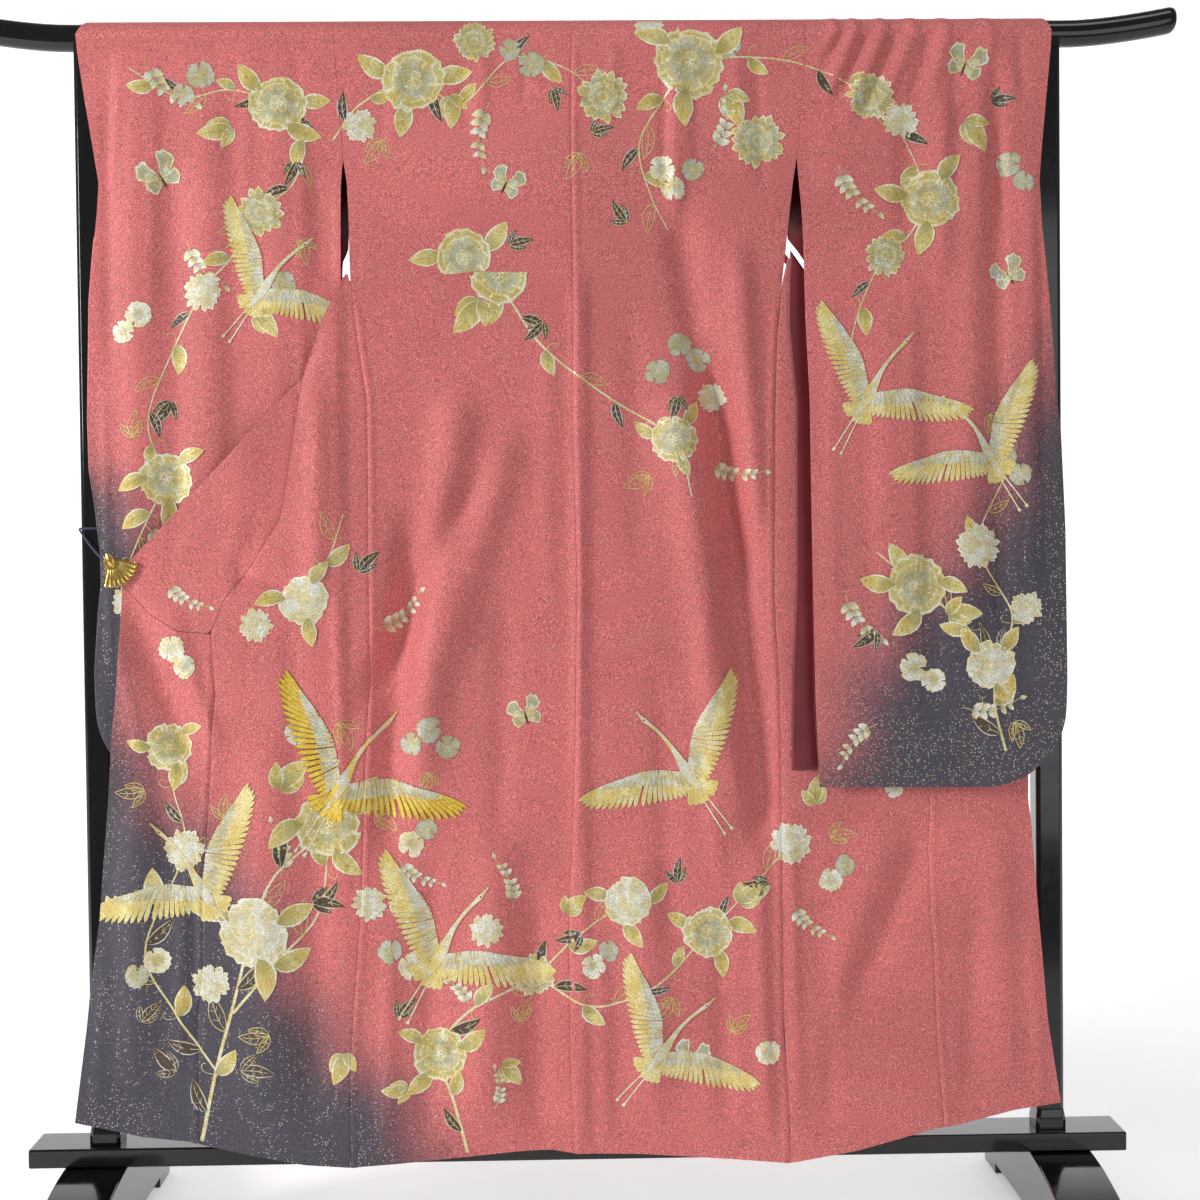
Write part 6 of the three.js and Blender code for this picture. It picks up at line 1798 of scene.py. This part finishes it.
RIGHT_ROWS = (
    ("mum", 436, 1372, 30), ("crane", 410, 1176, 106, 60, -1), ("crane", 580, 1092, 104, 122, 1),
    ("peony", 476, 912, 42),
    ("pale_mum", 562, 968, 32), ("sprig", 376, 904, 56, -80), ("blossom", 470, 800, 20),
    ("blossom", 500, 780, 18),
    ("pale_peony", 580, 800, 34), ("sprig", 540, 742, 54, -20), ("spray_gold", 520, 870, 36, 20),
    ("spray_dark", 420, 850, 30, -130),
    ("grey_blossom", 600, 1090, 19), ("grey_blossom", 622, 1066, 16), ("spray_outline", 580, 1150, 30, -60),
    ("butterfly", 610, 1340, 34, 25), ("sprig", 392, 1250, 50, -100), ("spray_dark", 400, 1180, 28, -70),
    ("pale_mum", 630, 880, 24), ("spray_outline", 612, 720, 28, -60), ("sprig", 420, 720, 50, 200),
)
RIGHT_VINES = (
    (((500, 1450), (470, 1400), (436, 1372), (400, 1300), (380, 1220)), 1.4, 6, 30),
    (((600, 680), (585, 740), (580, 800), (540, 860), (476, 912), (420, 960)), 1.8, 8, 34),
    (((580, 800), (610, 870), (562, 968), (600, 1060)), 1.4, 6, 30),
)
FAR_LEFT_ROWS = (("peony", -500, 1500, 42), ("mum", -430, 1360, 34), ("crane", -500, 1150, 115, 60, 1),
                 ("blossom", -560, 1300, 20), ("pale_peony", -450, 900, 42),
                 ("butterfly", -560, 1000, 36, 10), ("sprig", -520, 860, 54, -70))
FAR_LEFT_VINES = ((((-500, 1500), (-470, 1430), (-430, 1360), (-440, 1260)), 1.5, 6, 32),
                  (((-450, 900), (-500, 800), (-540, 720)), 1.6, 5, 32))
FAR_RIGHT_ROWS = (("mum", 480, 1500, 36), ("peony", 420, 1380, 40), ("crane", 500, 1180, 115, 120, -1),
                  ("pale_mum", 560, 1320, 28), ("peony", 480, 900, 42), ("butterfly", 560, 1020, 36, -10),
                  ("sprig", 430, 820, 54, -100))
FAR_RIGHT_VINES = ((((480, 1500), (450, 1440), (420, 1380), (430, 1280)), 1.5, 6, 32),
                   (((480, 900), (520, 800), (560, 720)), 1.6, 5, 32))
UPPER_ROWS = (("mum", -240, 1576, 32), ("sprig", -262, 1500, 48, -70), ("mum", 240, 1580, 32),
              ("spray_gold", 262, 1510, 32, -80))

# %% Laying the design on every panel
def along_z(table):
    return lambda z: look_up(table, z)


def along_x(table):
    return lambda x: look_up(table, x)


def level_at(value):
    return lambda places: np.full_like(places, value, dtype=float)


def sleeve_ends(node):
    """The inner and outer edges and the rounded bottom of a sleeve's near layer."""
    sleeve = Sleeve(SLEEVES[node])
    outer, inner = along_z(sleeve.wrist), lambda z: sleeve.inner_x(z, False)
    corner_x = sleeve.wrist[0][1]

    def low(x):
        reach = np.clip(CORNER - np.abs(x - corner_x), 0, CORNER)
        return max(sleeve.bottom) + CORNER - np.sqrt(CORNER**2 - reach**2)

    left, right = (outer, inner) if sleeve.side < 0 else (inner, outer)
    return left, right, low


HEM_LINE, TUCK, TOP = along_x(HEM), along_x(TUCK_LINE), level_at(BAR_HEIGHT + 16)
BACK_LEFT_EDGES = (along_z(SIDE_LEFT), along_z(CENTRE_SEAM))
BACK_RIGHT_EDGES = (along_z(CENTRE_SEAM), along_z(SIDE_RIGHT))

shoulders = draw_all(SHOULDER_ROWS, SHOULDER_VINES, 100)
body = draw_all(BODY_ROWS, BODY_VINES, 300)
tuck_above, tuck_below = draw_all(TUCK_ABOVE, (), 500), draw_all(TUCK_BELOW, (), 520)
# Each row: the marks' name, the design, the panel, and the panel's left, right, lower and upper edges.
PANEL_DESIGNS = (
    ("shoulder_design_left", shoulders, "back_left", *BACK_LEFT_EDGES, TUCK, TOP),
    ("shoulder_design_right", shoulders, "back_right", *BACK_RIGHT_EDGES, TUCK, TOP),
    ("body_design_left", body, "back_left", *BACK_LEFT_EDGES, HEM_LINE, TUCK),
    ("body_design_right", body, "back_right", *BACK_RIGHT_EDGES, HEM_LINE, TUCK),
    ("tuck_design_above", tuck_above, "back_left", *BACK_LEFT_EDGES, TUCK, TOP),
    ("tuck_design_below", tuck_below, "back_left", *BACK_LEFT_EDGES, HEM_LINE, TUCK),
    ("front_left_design", body, "front_left", along_z(FRONT_LEFT_EDGE), along_z(SIDE_LEFT), HEM_LINE,
     level_at(1330)),
    ("okumi_left_design", body, "okumi_left", along_z(OKUMI_LEFT_EDGE), along_z(FRONT_LEFT_EDGE), HEM_LINE,
     along_x(END_SEAM)),
    ("front_right_design", body, "front_right", along_z(SIDE_RIGHT), along_z(OKUMI_RIGHT_SEAM), HEM_LINE,
     lambda x: right_low(x) - 1),
    ("collar_design", body, "collar", level_at(COLLAR_END_X), level_at(-408), collar_seam_low, band_top),
)
for name, design, panel, *edges in PANEL_DESIGNS:
    lay_design(name, design, SHELLS[panel], *edges)
for node, rows, vines in (("sleeve_left", LEFT_ROWS, LEFT_VINES), ("sleeve_right", RIGHT_ROWS, RIGHT_VINES)):
    lower = draw_all(rows, vines, 700)
    lower.shapes += shoulders.shapes
    left, right, low = sleeve_ends(node)
    lay_design(node + "_design", lower, SHELLS[node], left, right, low, TOP)
for side, rows, vines, seed, left_x, right_x in (
        ("left", FAR_LEFT_ROWS, FAR_LEFT_VINES, 900, -630, -330),
        ("right", FAR_RIGHT_ROWS, FAR_RIGHT_VINES, 940, 340, 630)):
    lay_design(f"far_{side}_design", draw_all(rows, vines, seed), SHELLS[f"sleeve_{side}"],
               level_at(left_x), level_at(right_x), level_at(700), level_at(1650), from_behind=True)
upper = draw_all(UPPER_ROWS, (), 980)
for node, side, apex in (("front_left_upper", UPPER_SIDE_LEFT, LEFT_APEX),
                         ("front_right_upper", UPPER_SIDE_RIGHT, RIGHT_APEX)):
    seam = along_z(((apex[1], apex[0]), (BAR_HEIGHT, math.copysign(NECK_HALF, apex[0]))))
    borders = (along_z(side), seam) if apex[0] < 0 else (seam, along_z(side))
    lay_design(node + "_design", upper, SHELLS[node], *borders, level_at(apex[1] + 20),
               level_at(BAR_HEIGHT - 6), from_behind=True)

# %% [markdown]
# ## Floor and light
# A pale floor that curves up into a pale wall keeps the eye on the silk. A small bright light from the
# left shows the folds, a weaker one in front and one above soften its shadows, and a wide one lights the
# wall. An even surround fills the rest.

# %% Floor, wall and light
FLOOR = {"near": -1700, "far": 5000, "bend": 1200, "wall_top": 7000, "half_width": 9000, "rows": 9}


def make_stage():
    turn = np.linspace(0, math.pi / 2, 17)[1:]
    level = np.linspace(FLOOR["near"], FLOOR["far"], FLOOR["rows"])
    y = np.concatenate((level, FLOOR["far"] + FLOOR["bend"] * np.sin(turn), [FLOOR["far"] + FLOOR["bend"]]))
    z = np.concatenate((0 * level, FLOOR["bend"] * (1 - np.cos(turn)), [FLOOR["wall_top"]]))
    points = [(x, b, c) for b, c in zip(y, z) for x in (-FLOOR["half_width"], FLOOR["half_width"])]
    material, surface = new_finish("pale_floor")
    tone = ramp(material, grain(material, 1.5, detail=2),
                ((0.4, (0.84, 0.84, 0.84)), (0.6, (0.88, 0.88, 0.88))))
    join(material, (tone, surface.inputs["Base Color"]), (tone, surface.inputs["Emission Color"]))
    set_surface(surface, Emission_Strength=0.45, Roughness=0.9)
    piece = new_mesh("floor", points, grid_faces(len(y), 2), (material,))
    piece.location.z = -0.5 * MM
    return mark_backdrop(piece)


def area_light(name, place, target, size, power, colour=(1, 1, 1)):
    light = bpy.data.lights.new(name, "AREA")
    light.shape, light.size, light.size_y = "RECTANGLE", *size
    light.energy, light.color = power, colour
    lamp = bpy.data.objects.new(name, light)
    lamp.location = place
    lamp.rotation_euler = (Vector(target) - Vector(place)).to_track_quat("-Z", "Y").to_euler()
    bpy.context.scene.collection.objects.link(lamp)


make_stage()
area_light("key_light", (-3.1, -1.7, 1.7), (0, 0, 0.75), (0.7, 0.9), 80, (1.0, 0.985, 0.96))
area_light("fill_light", (1.8, -3.4, 1.0), (0, 0, 0.6), (1.6, 2.0), 15, (0.97, 0.98, 1.0))
area_light("top_light", (0.4, -1.0, 3.3), (0, 0, 0.9), (2.0, 0.6), 10)
area_light("wall_light", (0.0, 3.4, 5.2), (0, 6.0, 1.4), (7.0, 1.4), 170)
world = bpy.data.worlds.new("surround")
bpy.context.scene.world = world
world.use_nodes = True
world.node_tree.nodes["Background"].inputs["Color"].default_value = (0.93, 0.94, 0.95, 1)
world.node_tree.nodes["Background"].inputs["Strength"].default_value = 0.22
scene_view = bpy.context.scene.view_settings
scene_view.view_transform, scene_view.look = "Standard", "None"
